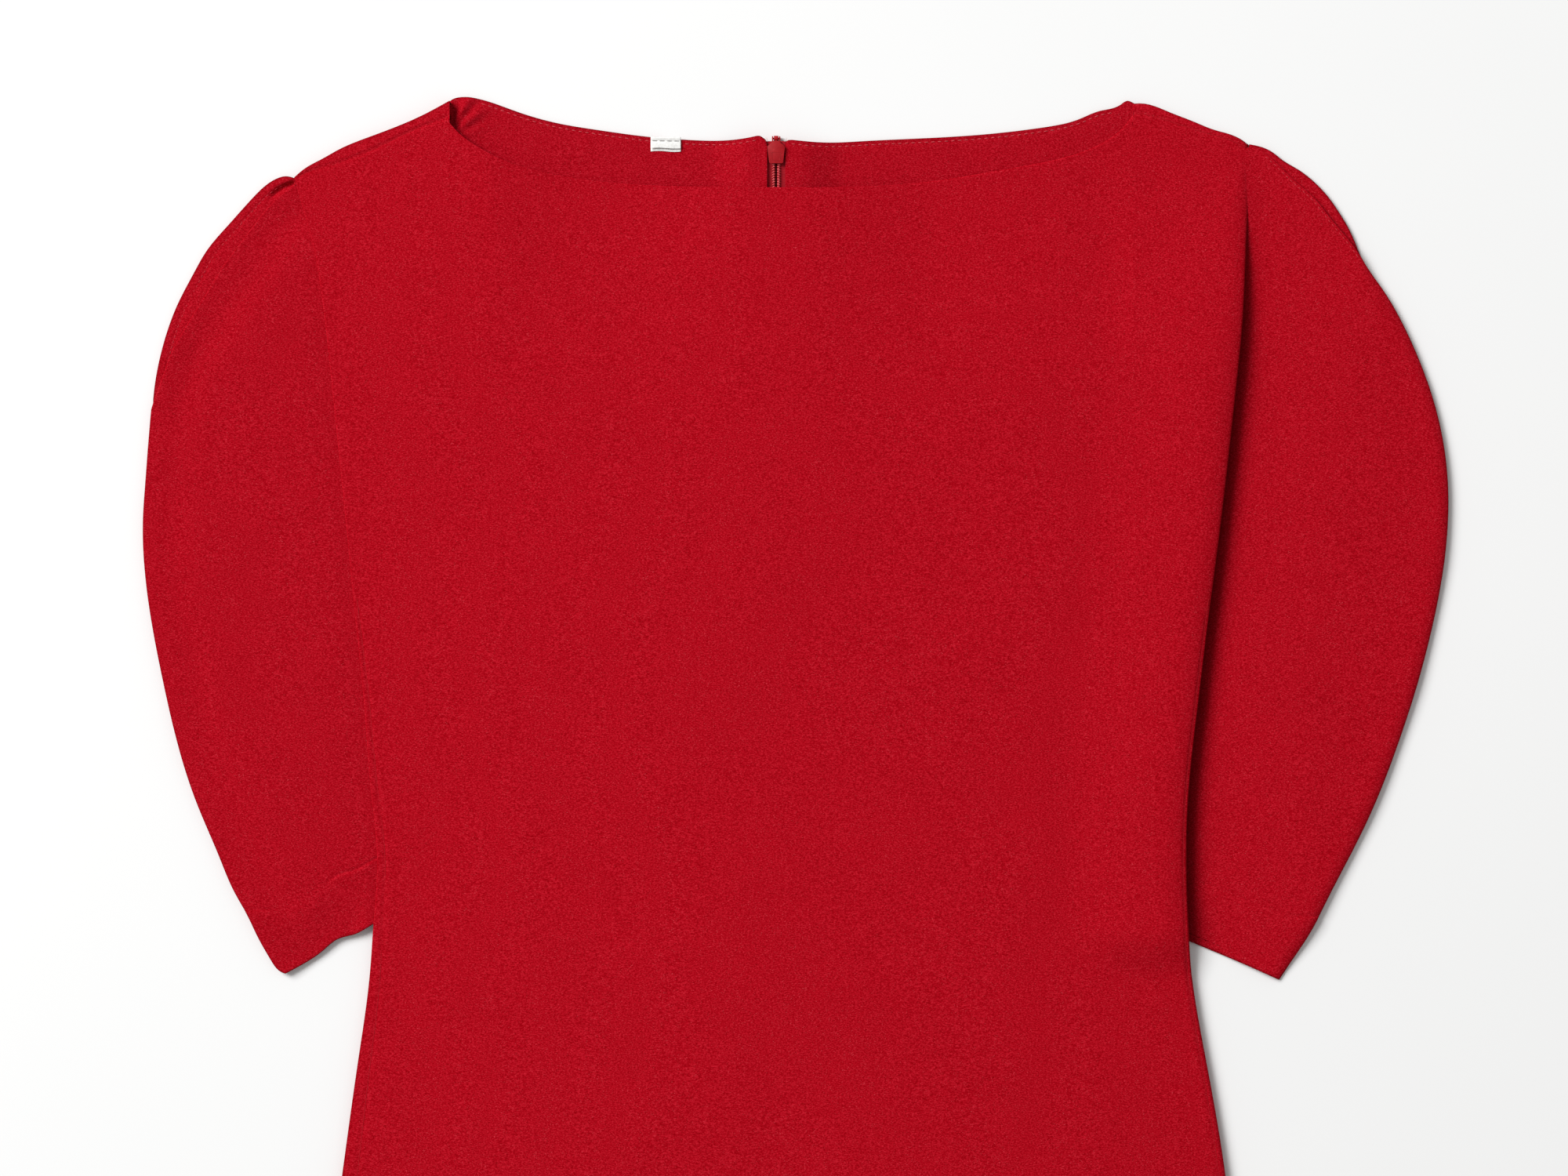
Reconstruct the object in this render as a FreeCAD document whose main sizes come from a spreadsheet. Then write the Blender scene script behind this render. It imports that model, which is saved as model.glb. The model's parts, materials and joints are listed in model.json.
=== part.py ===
import FreeCAD, Part
import math
import os

# A zipped dress lying on its back: X across, Y towards the neck, Z up, in millimetres.
# The origin is under the middle of the dress. The right half is drawn, the left mirrors it.

V = FreeCAD.Vector
os.makedirs("parts", exist_ok=True)
doc = FreeCAD.newDocument("dress")
sheet = doc.addObject("Spreadsheet::Sheet", "Sizes")

SIZES = {
    # outline of the body: half widths, and drops below the neck corners
    "total_length": 970.0,
    "neck_half_width": 166.0,
    "shoulder_half_width": 240.0,
    "underarm_half_width": 216.5,
    "waist_half_width": 200.0,
    "hip_half_width": 220.0,
    "hem_half_width": 240.0,
    "shoulder_drop": 39.0,
    "underarm_drop": 225.0,
    "waist_drop": 375.0,
    "hip_drop": 537.0,
    "front_neck_drop": 46.0,
    "back_neck_drop": 22.5,
    "facing_width": 50.0,
    "facing_flare": 22.0,
    "facing_step": 2.0,
    # sleeves: how far they bulge past the shoulder, their cuffs and their slits
    "sleeve_bulge": 84.5,
    "cuff_drop": 427.0,
    "cuff_slant": 22.0,
    "cuff_reach": 44.5,
    "slit_inset": 11.0,
    "armhole_margin": 5.0,
    "sleeve_gap": 0.5,
    # cloth, and how it lies
    "cloth": 0.8,
    "body_roll": 9.0,
    "sleeve_height": 6.8,
    "sleeve_roll": 6.0,
    "front_clearance": 0.9,
    # zip along the centre back, over a raised channel in the back
    "zip_drop": 575.0,
    "channel_rise": 3.6,
    "channel_half_width": 13.0,
    "channel_ramp": 8.0,
    "slot_half_width": 0.7,
    "facing_gap": 5.5,
    "facing_lift": 0.1,
    "facing_spread": 0.5,
    "tape_width": 11.5,
    "tape_thickness": 0.4,
    "tape_margin": 0.2,
    "coil_width": 1.5,
    "coil_height": 1.7,
    "coil_inset": 10.0,
    "top_stop_length": 1.1,
    "bottom_stop_length": 3.5,
    "bottom_stop_height": 0.5,
    # slider, its bridge and its pull
    "running_gap": 0.3,
    "slider_drop": 1.2,
    "slider_width": 8.9,
    "slider_length": 11.5,
    "plate_thickness": 0.7,
    "guide_wall": 0.8,
    "neck_length": 9.0,
    "foot_width": 4.4,
    "foot_length": 10.2,
    "foot_thickness": 0.8,
    "foot_gap": 0.5,
    "lug_width": 0.6,
    "lug_length": 3.5,
    "bar_radius": 0.5,
    "eye_wall": 0.5,
    "eye_width": 2.4,
    "pivot_reach": 1.5,
    "pivot_offset": 0.1,
    "pull_length": 26.0,
    "pull_width": 5.4,
    "pull_thickness": 0.9,
    "floor_gap": 0.15,
    # label, seams and stitches
    "label_offset": 55.0,
    "label_width": 15.0,
    "label_length": 7.0,
    "label_height": 1.1,
    "label_thickness": 0.35,
    "label_gap": 0.6,
    "label_drop": 0.3,
    "seam_inset": 2.3,
    "seam_width": 0.5,
    "seam_height": 0.4,
    "thread_width": 0.35,
    "thread_height": 0.25,
    "stitch_pitch": 3.3,
    "stitch_length": 2.0,
    "stitch_drop": 2.7,
    "hem_depth": 32.0,
    "blind_pitch": 6.0,
    "blind_length": 1.6,
    "tape_stitch_offset": 8.0,
}

for row, (alias, number) in enumerate(SIZES.items(), 1):
    sheet.set("A%d" % row, alias)
    sheet.set("B%d" % row, str(number))
    sheet.setAlias("B%d" % row, alias)
doc.recompute()

# Heights and places that several pieces share, as sheet expressions.
NECK_BACK = "Sizes.total_length / 2 - Sizes.back_neck_drop"
ZIP_LOW = "Sizes.total_length / 2 - Sizes.zip_drop"
TAPE_BASE = "Sizes.channel_rise + Sizes.cloth"
COIL_BASE = TAPE_BASE + " + Sizes.tape_thickness"
COIL_TOP = COIL_BASE + " + Sizes.coil_height"
SHIELD_BASE = COIL_TOP + " + Sizes.running_gap"
FACING_BASE = SHIELD_BASE + " + Sizes.plate_thickness + Sizes.front_clearance"
BODY_TOP = FACING_BASE + " + 2 * Sizes.cloth"
SLIDER_TOP = NECK_BACK + " - Sizes.slider_drop"
SLIDER_LOW = SLIDER_TOP + " - Sizes.slider_length"
FACING_OVER_TAPE = COIL_BASE + " + Sizes.thread_height + Sizes.facing_lift"
FOOT_BASE = "Sizes.channel_rise - Sizes.foot_gap - Sizes.foot_thickness"
PIVOT_Y = NECK_BACK + " + Sizes.pivot_reach"
PIVOT_Z = "Sizes.channel_rise / 2 - Sizes.pivot_offset"
LUG_BASE = PIVOT_Z + " - Sizes.bar_radius - Sizes.running_gap"
LABEL_Z = "2 * Sizes.cloth + Sizes.label_gap"


def value(text):
    return float(sheet.evalExpression(text))


def size(alias):
    return value("Sizes." + alias)


TOP = size("total_length") / 2
CLOTH = size("cloth")


# ---------------------------------------------------------------- outlines in plan

def below(drop):
    """Y of a level the given distance below the neck corners."""
    return TOP - drop


def between(start, stop, share):
    return start + share * (stop - start)


def spline(points, z=0.0):
    """Smooth curve through the points, at height z."""
    curve = Part.BSplineCurve()
    curve.interpolate([V(x, y, z) for x, y in points])
    return curve


def edge(points, z=0.0):
    """A straight edge through two points, a smooth one through more."""
    if len(points) == 2:
        return Part.LineSegment(V(points[0][0], points[0][1], z), V(points[1][0], points[1][1], z))
    return spline(points, z)


def side_points():
    """Right side of the body, from the hem up to the shoulder end."""
    hip_y = below(size("hip_drop"))
    waist_y = below(size("waist_drop"))
    underarm_y = below(size("underarm_drop"))
    shoulder_y = below(size("shoulder_drop"))
    waist = size("waist_half_width")
    underarm = size("underarm_half_width")
    shoulder = size("shoulder_half_width")
    hip = size("hip_half_width")
    hem = size("hem_half_width")
    return [
        (hem, -TOP),
        (between(hem, hip, 0.2), between(hip_y, -TOP, 0.46)),
        (hip, hip_y),
        (between(waist, hip, 0.3), between(hip_y, waist_y, 0.48)),
        (waist, waist_y),
        (between(waist, underarm, 0.42), between(waist_y, underarm_y, 0.58)),
        (underarm, underarm_y),
        (between(underarm, shoulder, 0.68), between(underarm_y, shoulder_y, 0.645)),
        (shoulder, shoulder_y),
    ]


def side_x(y):
    """Half width of the body at the level y."""
    ray = Part.LineSegment(V(0, y, 0), V(4 * TOP, y, 0))
    return spline(side_points()).intersectCC(ray)[0].X


def neckline_points(drop, squareness):
    """Right half of a neckline, from beyond the neck corner to the middle."""
    half = size("neck_half_width")
    return [
        (half + 1.5, TOP + 2),
        (half * (1 - 0.045 * squareness), TOP - 0.29 * drop),
        (half * (1 - 0.1 * squareness), TOP - 0.5 * drop),
        (half * 0.78, TOP - 0.68 * drop),
        (half * 0.42, TOP - 0.89 * drop),
        (0, TOP - drop),
    ]


def front_neckline():
    return neckline_points(size("front_neck_drop"), 0.6)


def back_neckline():
    return neckline_points(size("back_neck_drop"), 1.2)


def back_neckline_y(x):
    """Level of the back neckline at the distance x from the middle."""
    ray = Part.LineSegment(V(x, 0, 0), V(x, 2 * TOP, 0))
    return spline(back_neckline()).intersectCC(ray)[0].Y


def beside_body(y):
    """Point of the sleeve's inner edge at the level y."""
    return side_x(y) + size("sleeve_gap"), y


def sleeve_corner():
    """Shoulder end of the sleeve."""
    return beside_body(below(size("shoulder_drop")) - size("sleeve_gap"))


def cuff_inner():
    """Inner end of the cuff, beside the body."""
    return beside_body(below(size("cuff_drop")) + size("cuff_slant") / 2)


def cuff_tip():
    """Outer end of the cuff."""
    return cuff_inner()[0] + size("cuff_reach"), below(size("cuff_drop")) - size("cuff_slant") / 2


def sleeve_outer_points():
    """Outer edge of the right sleeve, from the cuff tip up to the shoulder end."""
    shoulder = size("shoulder_half_width")
    bulge = size("sleeve_bulge")
    tip_x, tip_y = cuff_tip()
    top_y = below(size("shoulder_drop"))
    return [
        (tip_x, tip_y),
        (tip_x + 0.2 * bulge, between(tip_y, top_y, 0.065)),
        (shoulder + 0.54 * bulge, between(tip_y, top_y, 0.17)),
        (shoulder + 0.92 * bulge, between(tip_y, top_y, 0.43)),
        (shoulder + bulge, between(tip_y, top_y, 0.58)),
        (shoulder + 0.87 * bulge, between(tip_y, top_y, 0.765)),
        (shoulder + 0.61 * bulge, between(tip_y, top_y, 0.885)),
        (shoulder + 0.3 * bulge, between(tip_y, top_y, 0.97)),
        sleeve_corner(),
    ]


def sleeve_inner_points():
    """Inner edge of the right sleeve, down beside the body to the cuff."""
    steps = 6
    start = sleeve_corner()[1]
    stop = cuff_inner()[1]
    return [beside_body(between(start, stop, i / steps)) for i in range(steps + 1)]


def mirrored(points):
    """The same stretch on the left, in the opposite order."""
    return [(-x, y) for x, y in reversed(points)]


def body_stretches(overhang=0.0):
    """Outline of the body, anticlockwise: stretches of (points, does it roll over)."""
    side = side_points()
    hem_x = side[0][0]
    low = -TOP - overhang
    corner = (size("neck_half_width"), TOP)
    shoulder = ([side[-1], corner], True)
    stretches = [([(-hem_x, low), (hem_x, low)], False)]
    if overhang:
        stretches.append(([(hem_x, low), (hem_x, -TOP)], True))
    stretches += [
        (side, True),
        shoulder,
        ([corner, (-corner[0], TOP)], False),
        (mirrored(shoulder[0]), True),
        (mirrored(side), True),
    ]
    if overhang:
        stretches.append(([(-hem_x, -TOP), (-hem_x, low)], True))
    return stretches


def sleeve_stretches(overhang=0.0):
    """Outline of the right sleeve, anticlockwise from the inner end of the cuff."""
    inner = sleeve_inner_points()
    outer = sleeve_outer_points()
    inner_end = (inner[-1][0], inner[-1][1] - overhang)
    outer_end = (outer[0][0], outer[0][1] - overhang)
    stretches = [([inner_end, outer_end], False)]
    if overhang:
        stretches.append(([outer_end, outer[0]], True))
    stretches += [(outer, True), (inner, True)]
    if overhang:
        stretches.append(([inner[-1], inner_end], True))
    return stretches


def inset_stretches(stretches, inset):
    """Moves every rolled stretch inwards by inset, keeping the others in line."""
    corners = []
    insets = []
    for points, rolled in stretches:
        corners += points[:-1]
        insets += [inset if rolled else 0.0] * (len(points) - 1)
    count = len(corners)
    normals = []
    for i in range(count):
        ax, ay = corners[i]
        bx, by = corners[(i + 1) % count]
        length = math.hypot(bx - ax, by - ay)
        normals.append(((ay - by) / length, (bx - ax) / length))
    moved = []
    for i in range(count):
        before, after = normals[i - 1], normals[i]
        d1, d2 = insets[i - 1], insets[i]
        cross = before[0] * after[1] - before[1] * after[0]
        if abs(cross) < 1e-3:
            shift = (after[0] * d2, after[1] * d2)
        else:
            shift = ((d1 * after[1] - d2 * before[1]) / cross,
                     (before[0] * d2 - after[0] * d1) / cross)
        moved.append((corners[i][0] + shift[0], corners[i][1] + shift[1]))
    result = []
    start = 0
    for points, rolled in stretches:
        steps = len(points) - 1
        result.append([moved[(start + k) % count] for k in range(steps + 1)])
        start += steps
    return result


def outline_wire(stretches, inset, z):
    return Part.Wire([edge(points, z).toShape() for points in inset_stretches(stretches, inset)])


# ---------------------------------------------------------------- puffed cloth shells

ROLL_ANGLES = (0, 22.5, 45, 67.5, 90)
MIDDLE_SHARE = 0.3
OVERHANG = 6.0
TALL = 60.0


def rolled_block(stretches, height, roll, thickness, floor):
    """Solid whose sides roll over in a quarter ellipse up to a flat top."""
    middle = MIDDLE_SHARE * height
    rise = height - middle - thickness
    lowest = math.asin((floor - middle) / rise)
    wires = []
    for angle in [lowest] + [math.radians(a) for a in ROLL_ANGLES]:
        inset = roll - (roll - thickness) * math.cos(angle)
        wires.append(outline_wire(stretches, inset, middle + rise * math.sin(angle)))
    return Part.makeLoft(wires, True, True)


def cloth_shell(make_stretches, height, roll):
    """Upper layer of cloth with its sides rolled down to the lower layer, open at the end."""
    outer = rolled_block(make_stretches(), height, roll, 0.0, CLOTH)
    inner = rolled_block(make_stretches(OVERHANG), height, roll, CLOTH, CLOTH / 2)
    return outer.cut(inner)


def lower_inset(height, roll):
    """How far in the shell's outer face is where it meets the lower layer."""
    middle = MIDDLE_SHARE * height
    return roll * (1 - math.cos(math.asin((CLOTH - middle) / (height - middle))))


def prism(curves, base):
    """Tall block over a closed run of curves."""
    wire = Part.Wire([curve.toShape() for curve in curves])
    return Part.Face(wire).extrude(V(0, 0, TALL)).translated(V(0, 0, base))


def neck_cutter(right):
    """Block above a neckline, taking in everything between the neck corners."""
    left = mirrored(right)
    high = TOP + TALL
    right_top = (right[0][0], high)
    left_top = (left[-1][0], high)
    lines = [edge([left[-1], left_top]), edge([left_top, right_top]), edge([right_top, right[0]])]
    return prism([spline(right), spline(left)] + lines, 0.0)


def armhole_cutter():
    """Slot through both walls of the right armhole."""
    low = below(size("underarm_drop") - size("armhole_margin"))
    high = below(size("shoulder_drop") + 3 * size("armhole_margin"))
    near = side_x(low) - size("body_roll")
    far = size("shoulder_half_width") + size("body_roll")
    height = size("sleeve_height") - 2 * CLOTH
    return Part.makeBox(far - near, high - low, height, V(near, low, CLOTH))


def slit_cutter():
    """Block outside the edge of the sleeve's upper layer along its slit."""
    outer = sleeve_outer_points()
    deep = inset_stretches(sleeve_stretches(), size("slit_inset"))[1]
    shallow = inset_stretches(sleeve_stretches(), 0.6 * size("slit_inset"))[1]
    slit = [outer[-1], shallow[-2], deep[-3], outer[-4]]
    far = size("shoulder_half_width") + size("sleeve_bulge") + TALL
    low_corner = (far, slit[-1][1])
    high_corner = (far, slit[0][1] + TALL)
    near_corner = (slit[0][0], slit[0][1] + TALL)
    corners = [slit[-1], low_corner, high_corner, near_corner, slit[0]]
    lines = [edge([a, b]) for a, b in zip(corners, corners[1:])]
    return prism([spline(slit)] + lines, CLOTH)


def front_panel_shape():
    shell = cloth_shell(body_stretches, value(BODY_TOP), size("body_roll"))
    slot = armhole_cutter()
    other = slot.mirror(V(0, 0, 0), V(1, 0, 0))
    return shell.cut(neck_cutter(front_neckline())).cut(slot).cut(other)


def sleeve_front_shape():
    shell = cloth_shell(sleeve_stretches, size("sleeve_height"), size("sleeve_roll"))
    return shell.cut(armhole_cutter()).cut(slit_cutter())


# ---------------------------------------------------------------- document helpers

def shaped(name, shape):
    feature = doc.addObject("Part::Feature", name)
    feature.Shape = shape
    return feature


def mirror_to_left(source, name):
    copy = doc.addObject("Part::Mirroring", name)
    copy.Source = source
    copy.Normal = V(1, 0, 0)
    return copy


def box(name, base, lengths):
    """Block whose corner and sides are written as sheet expressions."""
    block = doc.addObject("Part::Box", name)
    for axis, text in zip("xyz", base):
        block.setExpression("Placement.Base." + axis, text)
    for side, text in zip(("Length", "Width", "Height"), lengths):
        block.setExpression(side, text)
    return block


def polygon(points):
    """Straight edges round a closed polygon."""
    return [edge([a, b]) for a, b in zip(points, points[1:] + points[:1])]


def sketch_of(name, curves, rotation=FreeCAD.Rotation()):
    sketch = doc.addObject("Sketcher::SketchObject", name)
    sketch.Placement = FreeCAD.Placement(V(0, 0, 0), rotation)
    for curve in curves:
        sketch.addGeometry(curve, False)
    return sketch


def extruded(name, sketch, direction, forward, backward="0"):
    solid = doc.addObject("Part::Extrusion", name)
    solid.Base = sketch
    solid.DirMode = "Custom"
    solid.Dir = direction
    solid.Solid = True
    solid.setExpression("LengthFwd", forward)
    solid.setExpression("LengthRev", backward)
    return solid


def joined(name, kind, shapes):
    result = doc.addObject(kind, name)
    result.Shapes = shapes
    return result


def body_sketch(body, name, role, curves):
    """Sketch on one of the body's own origin planes."""
    sketch = body.newObject("Sketcher::SketchObject", name)
    plane = [feature for feature in body.Origin.OriginFeatures if feature.Role == role][0]
    sketch.AttachmentSupport = [(plane, "")]
    sketch.MapMode = "FlatFace"
    for curve in curves:
        sketch.addGeometry(curve, False)
    return sketch


def pad(body, name, sketch, length, symmetric=False):
    feature = body.newObject("PartDesign::Pad", name)
    feature.Profile = sketch
    feature.setExpression("Length", length)
    feature.Midplane = symmetric
    return feature


# ---------------------------------------------------------------- cloth

def channel_profile(inner_x, centre_z, flat_z, shift):
    """Cross-section of one layer over the raised channel along the centre back."""
    top_x = size("channel_half_width") + shift
    end_x = top_x + size("channel_ramp") + shift
    far = size("shoulder_half_width") + TALL
    lean = CLOTH * math.tan(math.atan2(centre_z - flat_z, end_x - top_x) / 2)
    return [
        (inner_x, centre_z),
        (top_x, centre_z),
        (end_x, flat_z),
        (far, flat_z),
        (far, flat_z + CLOTH),
        (end_x + lean, flat_z + CLOTH),
        (top_x + lean, centre_z + CLOTH),
        (inner_x, centre_z + CLOTH),
    ]


def channelled_layer(name, outline, profile):
    """Layer of cloth with the outline in plan and the profile across."""
    upright = FreeCAD.Rotation(V(1, 0, 0), 90)
    plan = sketch_of(name + "_outline", outline)
    section = sketch_of(name + "_section", polygon(profile), upright)
    block = extruded(name + "_block", plan, V(0, 0, 1), BODY_TOP)
    strip = extruded(name + "_strip", section, V(0, 1, 0), "Sizes.total_length", "Sizes.total_length")
    return joined(name, "Part::MultiCommon", [block, strip])


def make_back_panel():
    stretches = inset_stretches(body_stretches(), lower_inset(value(BODY_TOP), size("body_roll")))
    side, shoulder = stretches[1], stretches[2]
    neck = [shoulder[-1]] + back_neckline()[1:]
    middle = (0, -TOP)
    outline = [edge([middle, side[0]]), edge(side), edge(shoulder), edge(neck), edge([neck[-1], middle])]
    profile = channel_profile(size("slot_half_width"), size("channel_rise"), 0.0, 0.0)
    right = channelled_layer("back_panel_right", outline, profile)
    return right, mirror_to_left(right, "back_panel_left")


def make_back_facing():
    """Band of cloth inside the back neckline, from the zip to the shoulder."""
    width = size("facing_width")
    step = size("facing_step")
    neck = back_neckline()[1:]
    top = [(neck[0][0] - step, neck[0][1] - step)] + neck[1:]
    low = [(x, y - width) for x, y in top]
    low[0] = (top[0][0] + size("facing_flare"), top[0][1] - 0.8 * width)
    bottom = list(reversed(low))
    outline = [edge(bottom), edge([bottom[-1], top[0]]), edge(top), edge([top[-1], bottom[0]])]
    profile = channel_profile(size("facing_gap"), value(FACING_OVER_TAPE), CLOTH, size("facing_spread"))
    right = channelled_layer("back_neck_facing_right", outline, profile)
    return right, mirror_to_left(right, "back_neck_facing_left")


def make_front_facing():
    """Band of cloth under the front neckline."""
    width = size("facing_width")
    half = front_neckline()[2:]
    low_half = [(x, y - width) for x, y in half]
    low_half[0] = (half[0][0] + size("facing_flare"), half[0][1] - 0.6 * width)
    upper = half + mirrored(half)[1:]
    lower = low_half + mirrored(low_half)[1:]
    curves = [edge(upper), edge([upper[-1], lower[-1]]), edge(lower), edge([lower[0], upper[0]])]
    body = doc.addObject("PartDesign::Body", "front_neck_facing")
    sketch = body_sketch(body, "front_neck_facing_outline", "XY_Plane", curves)
    pad(body, "front_neck_facing_pad", sketch, "Sizes.cloth")
    body.setExpression("Placement.Base.z", FACING_BASE)
    return body


def make_sleeve_back():
    inset = lower_inset(size("sleeve_height"), size("sleeve_roll"))
    body = doc.addObject("PartDesign::Body", "sleeve_back_right")
    curves = [edge(points) for points in inset_stretches(sleeve_stretches(), inset)]
    sketch = body_sketch(body, "sleeve_back_outline", "XY_Plane", curves)
    pad(body, "sleeve_back_pad", sketch, "Sizes.cloth")
    return body, mirror_to_left(body, "sleeve_back_left")


# ---------------------------------------------------------------- seams and stitches

def make_seam(name, stretches, index, first, last):
    """Run of seam thread just inside one stretch of the outline."""
    near = inset_stretches(stretches, size("seam_inset"))[index][first:last]
    far = inset_stretches(stretches, size("seam_inset") + size("seam_width"))[index][first:last]
    back = list(reversed(far))
    curves = [edge(near), edge([near[-1], back[0]]), edge(back), edge([back[-1], near[0]])]
    wire = Part.Wire([curve.toShape() for curve in curves])
    run = Part.Face(wire).extrude(V(0, 0, size("seam_height"))).translated(V(0, 0, CLOTH))
    right = shaped(name + "_right", run)
    return right, mirror_to_left(right, name + "_left")


def stitch_row(curve, z, pitch, length):
    """Separate stitches in a row along a curve."""
    wide = size("thread_width")
    shape = curve.toShape()
    count = max(2, int(shape.Length / pitch))
    stops = shape.discretize(Number=2 * count + 1)
    stitches = []
    for i in range(count):
        middle = stops[2 * i + 1]
        along = stops[2 * i + 2].sub(stops[2 * i])
        turn = FreeCAD.Rotation(V(1, 0, 0), V(along.x, along.y, 0))
        stitch = Part.makeBox(length, wide, size("thread_height"), V(-length / 2, -wide / 2, 0))
        stitch.Placement = FreeCAD.Placement(V(middle.x, middle.y, z), turn)
        stitches.append(stitch)
    return stitches


def make_neck_stitches():
    """Understitching on the back facing, a little below the neckline."""
    curve = [(x, y - size("stitch_drop")) for x, y in back_neckline()[1:]]
    channel = size("channel_half_width")
    flat = channel + size("channel_ramp") + 2 * size("stitch_length")
    lift = value(FACING_OVER_TAPE) - CLOTH
    stitches = []
    for stitch in stitch_row(spline(curve), 2 * CLOTH, size("stitch_pitch"), size("stitch_length")):
        middle = stitch.CenterOfMass.x
        if flat < middle < curve[0][0] - 2 * size("stitch_drop"):
            stitches.append(stitch)
        if size("facing_gap") + 1 < middle < channel - 1:
            stitches.append(stitch.translated(V(0, 0, lift)))
    right = shaped("neck_stitches_right", Part.Compound(stitches))
    return right, mirror_to_left(right, "neck_stitches_left")


def make_front_neck_stitches():
    """Understitching on the underside of the front facing."""
    half = [(x, y - size("stitch_drop")) for x, y in front_neckline()[2:]]
    whole = spline(half + mirrored(half)[1:])
    z = value(FACING_BASE) - size("thread_height")
    row = stitch_row(whole, z, size("stitch_pitch"), size("stitch_length"))
    return shaped("front_neck_stitches", Part.Compound(row))


def make_slit_stitches():
    """Topstitching inside the lower layer, along the slit."""
    inset = inset_stretches(sleeve_stretches(), size("slit_inset") - size("stitch_drop"))[1]
    row = stitch_row(spline(inset[-4:-1]), CLOTH, size("stitch_pitch"), size("stitch_length"))
    right = shaped("slit_stitches_right", Part.Compound(row))
    return right, mirror_to_left(right, "slit_stitches_left")


def make_cuff_stitches():
    """Blind stitches of the cuff's hem, on the upper layer."""
    rise = size("hem_depth")
    margin = size("sleeve_roll") + size("blind_length")
    inner_x, inner_y = cuff_inner()
    tip_x, tip_y = cuff_tip()
    start = (side_x(inner_y + rise) + margin, inner_y + rise)
    end = (tip_x + 0.3 * size("sleeve_bulge") - margin, tip_y + rise)
    row = stitch_row(edge([start, end]), size("sleeve_height"), size("blind_pitch"), size("blind_length"))
    right = shaped("cuff_stitches_right", Part.Compound(row))
    return right, mirror_to_left(right, "cuff_stitches_left")


def make_hem_stitches():
    """Blind stitches of the skirt hem, on the upper layer."""
    y = -TOP + size("hem_depth")
    half = side_x(y) - size("body_roll") - size("blind_pitch")
    row = stitch_row(edge([(-half, y), (half, y)]), value(BODY_TOP), size("blind_pitch"),
                     size("blind_length"))
    return shaped("hem_stitches", Part.Compound(row))


def make_zip_stitches():
    """Stitches holding the zip tape down, along its middle."""
    x = size("tape_stitch_offset")
    start = (x, value(ZIP_LOW) + size("blind_pitch"))
    end = (x, value(SLIDER_TOP) - size("blind_pitch"))
    row = stitch_row(edge([start, end]), value(COIL_BASE), size("blind_pitch"), size("stitch_length"))
    right = shaped("zip_stitches_right", Part.Compound(row))
    return right, mirror_to_left(right, "zip_stitches_left")


# ---------------------------------------------------------------- zip

def make_tapes_and_coils():
    tape = box(
        "zipper_tape_right",
        ("Sizes.slot_half_width", ZIP_LOW, TAPE_BASE),
        ("Sizes.tape_width", "Sizes.zip_drop - Sizes.back_neck_drop - Sizes.tape_margin",
         "Sizes.tape_thickness"),
    )
    coil = box(
        "zipper_coil_right",
        ("Sizes.slot_half_width", ZIP_LOW + " + Sizes.coil_inset", COIL_BASE),
        ("Sizes.coil_width",
         "Sizes.zip_drop - Sizes.back_neck_drop - Sizes.coil_inset - Sizes.tape_margin"
         " - Sizes.top_stop_length", "Sizes.coil_height"),
    )
    left_tape = mirror_to_left(tape, "zipper_tape_left")
    return [tape, left_tape, coil, mirror_to_left(coil, "zipper_coil_left")]


def make_stops():
    """Stops at the coils' ends: one at the top of each coil, one across both at the bottom."""
    right = box(
        "top_stop_right",
        ("Sizes.slot_half_width",
         NECK_BACK + " - Sizes.tape_margin - Sizes.top_stop_length", COIL_BASE),
        ("Sizes.coil_width", "Sizes.top_stop_length", "Sizes.coil_height"),
    )
    top_stops = doc.addObject("Part::Compound", "zipper_top_stops")
    top_stops.Links = [right, mirror_to_left(right, "top_stop_left")]
    bottom_stop = box(
        "zipper_bottom_stop",
        ("-Sizes.slot_half_width - Sizes.coil_width", ZIP_LOW + " + Sizes.coil_inset", COIL_TOP),
        ("2 * (Sizes.slot_half_width + Sizes.coil_width)", "Sizes.bottom_stop_length",
         "Sizes.bottom_stop_height"),
    )
    return [top_stops, bottom_stop]


def make_back_seam():
    """Seam closing the centre back below the zip."""
    return box(
        "centre_back_seam",
        ("-Sizes.slot_half_width", "-Sizes.total_length / 2", "Sizes.channel_rise"),
        ("2 * Sizes.slot_half_width", "Sizes.total_length - Sizes.zip_drop - Sizes.bottom_stop_length",
         "Sizes.cloth"),
    )


def make_shield():
    """Five-sided plate of the slider, over the coils."""
    half = size("slider_width") / 2
    low = value(SLIDER_LOW)
    high = value(SLIDER_TOP)
    shoulder_y = between(low, high, 0.56)
    right = [(0.78 * half, low), (half, shoulder_y), (0.2 * half, high)]
    sketch = sketch_of("slider_shield_outline", polygon(right + mirrored(right)))
    sketch.setExpression("Placement.Base.z", SHIELD_BASE)
    return extruded("slider_shield", sketch, V(0, 0, 1), "Sizes.plate_thickness")


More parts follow.
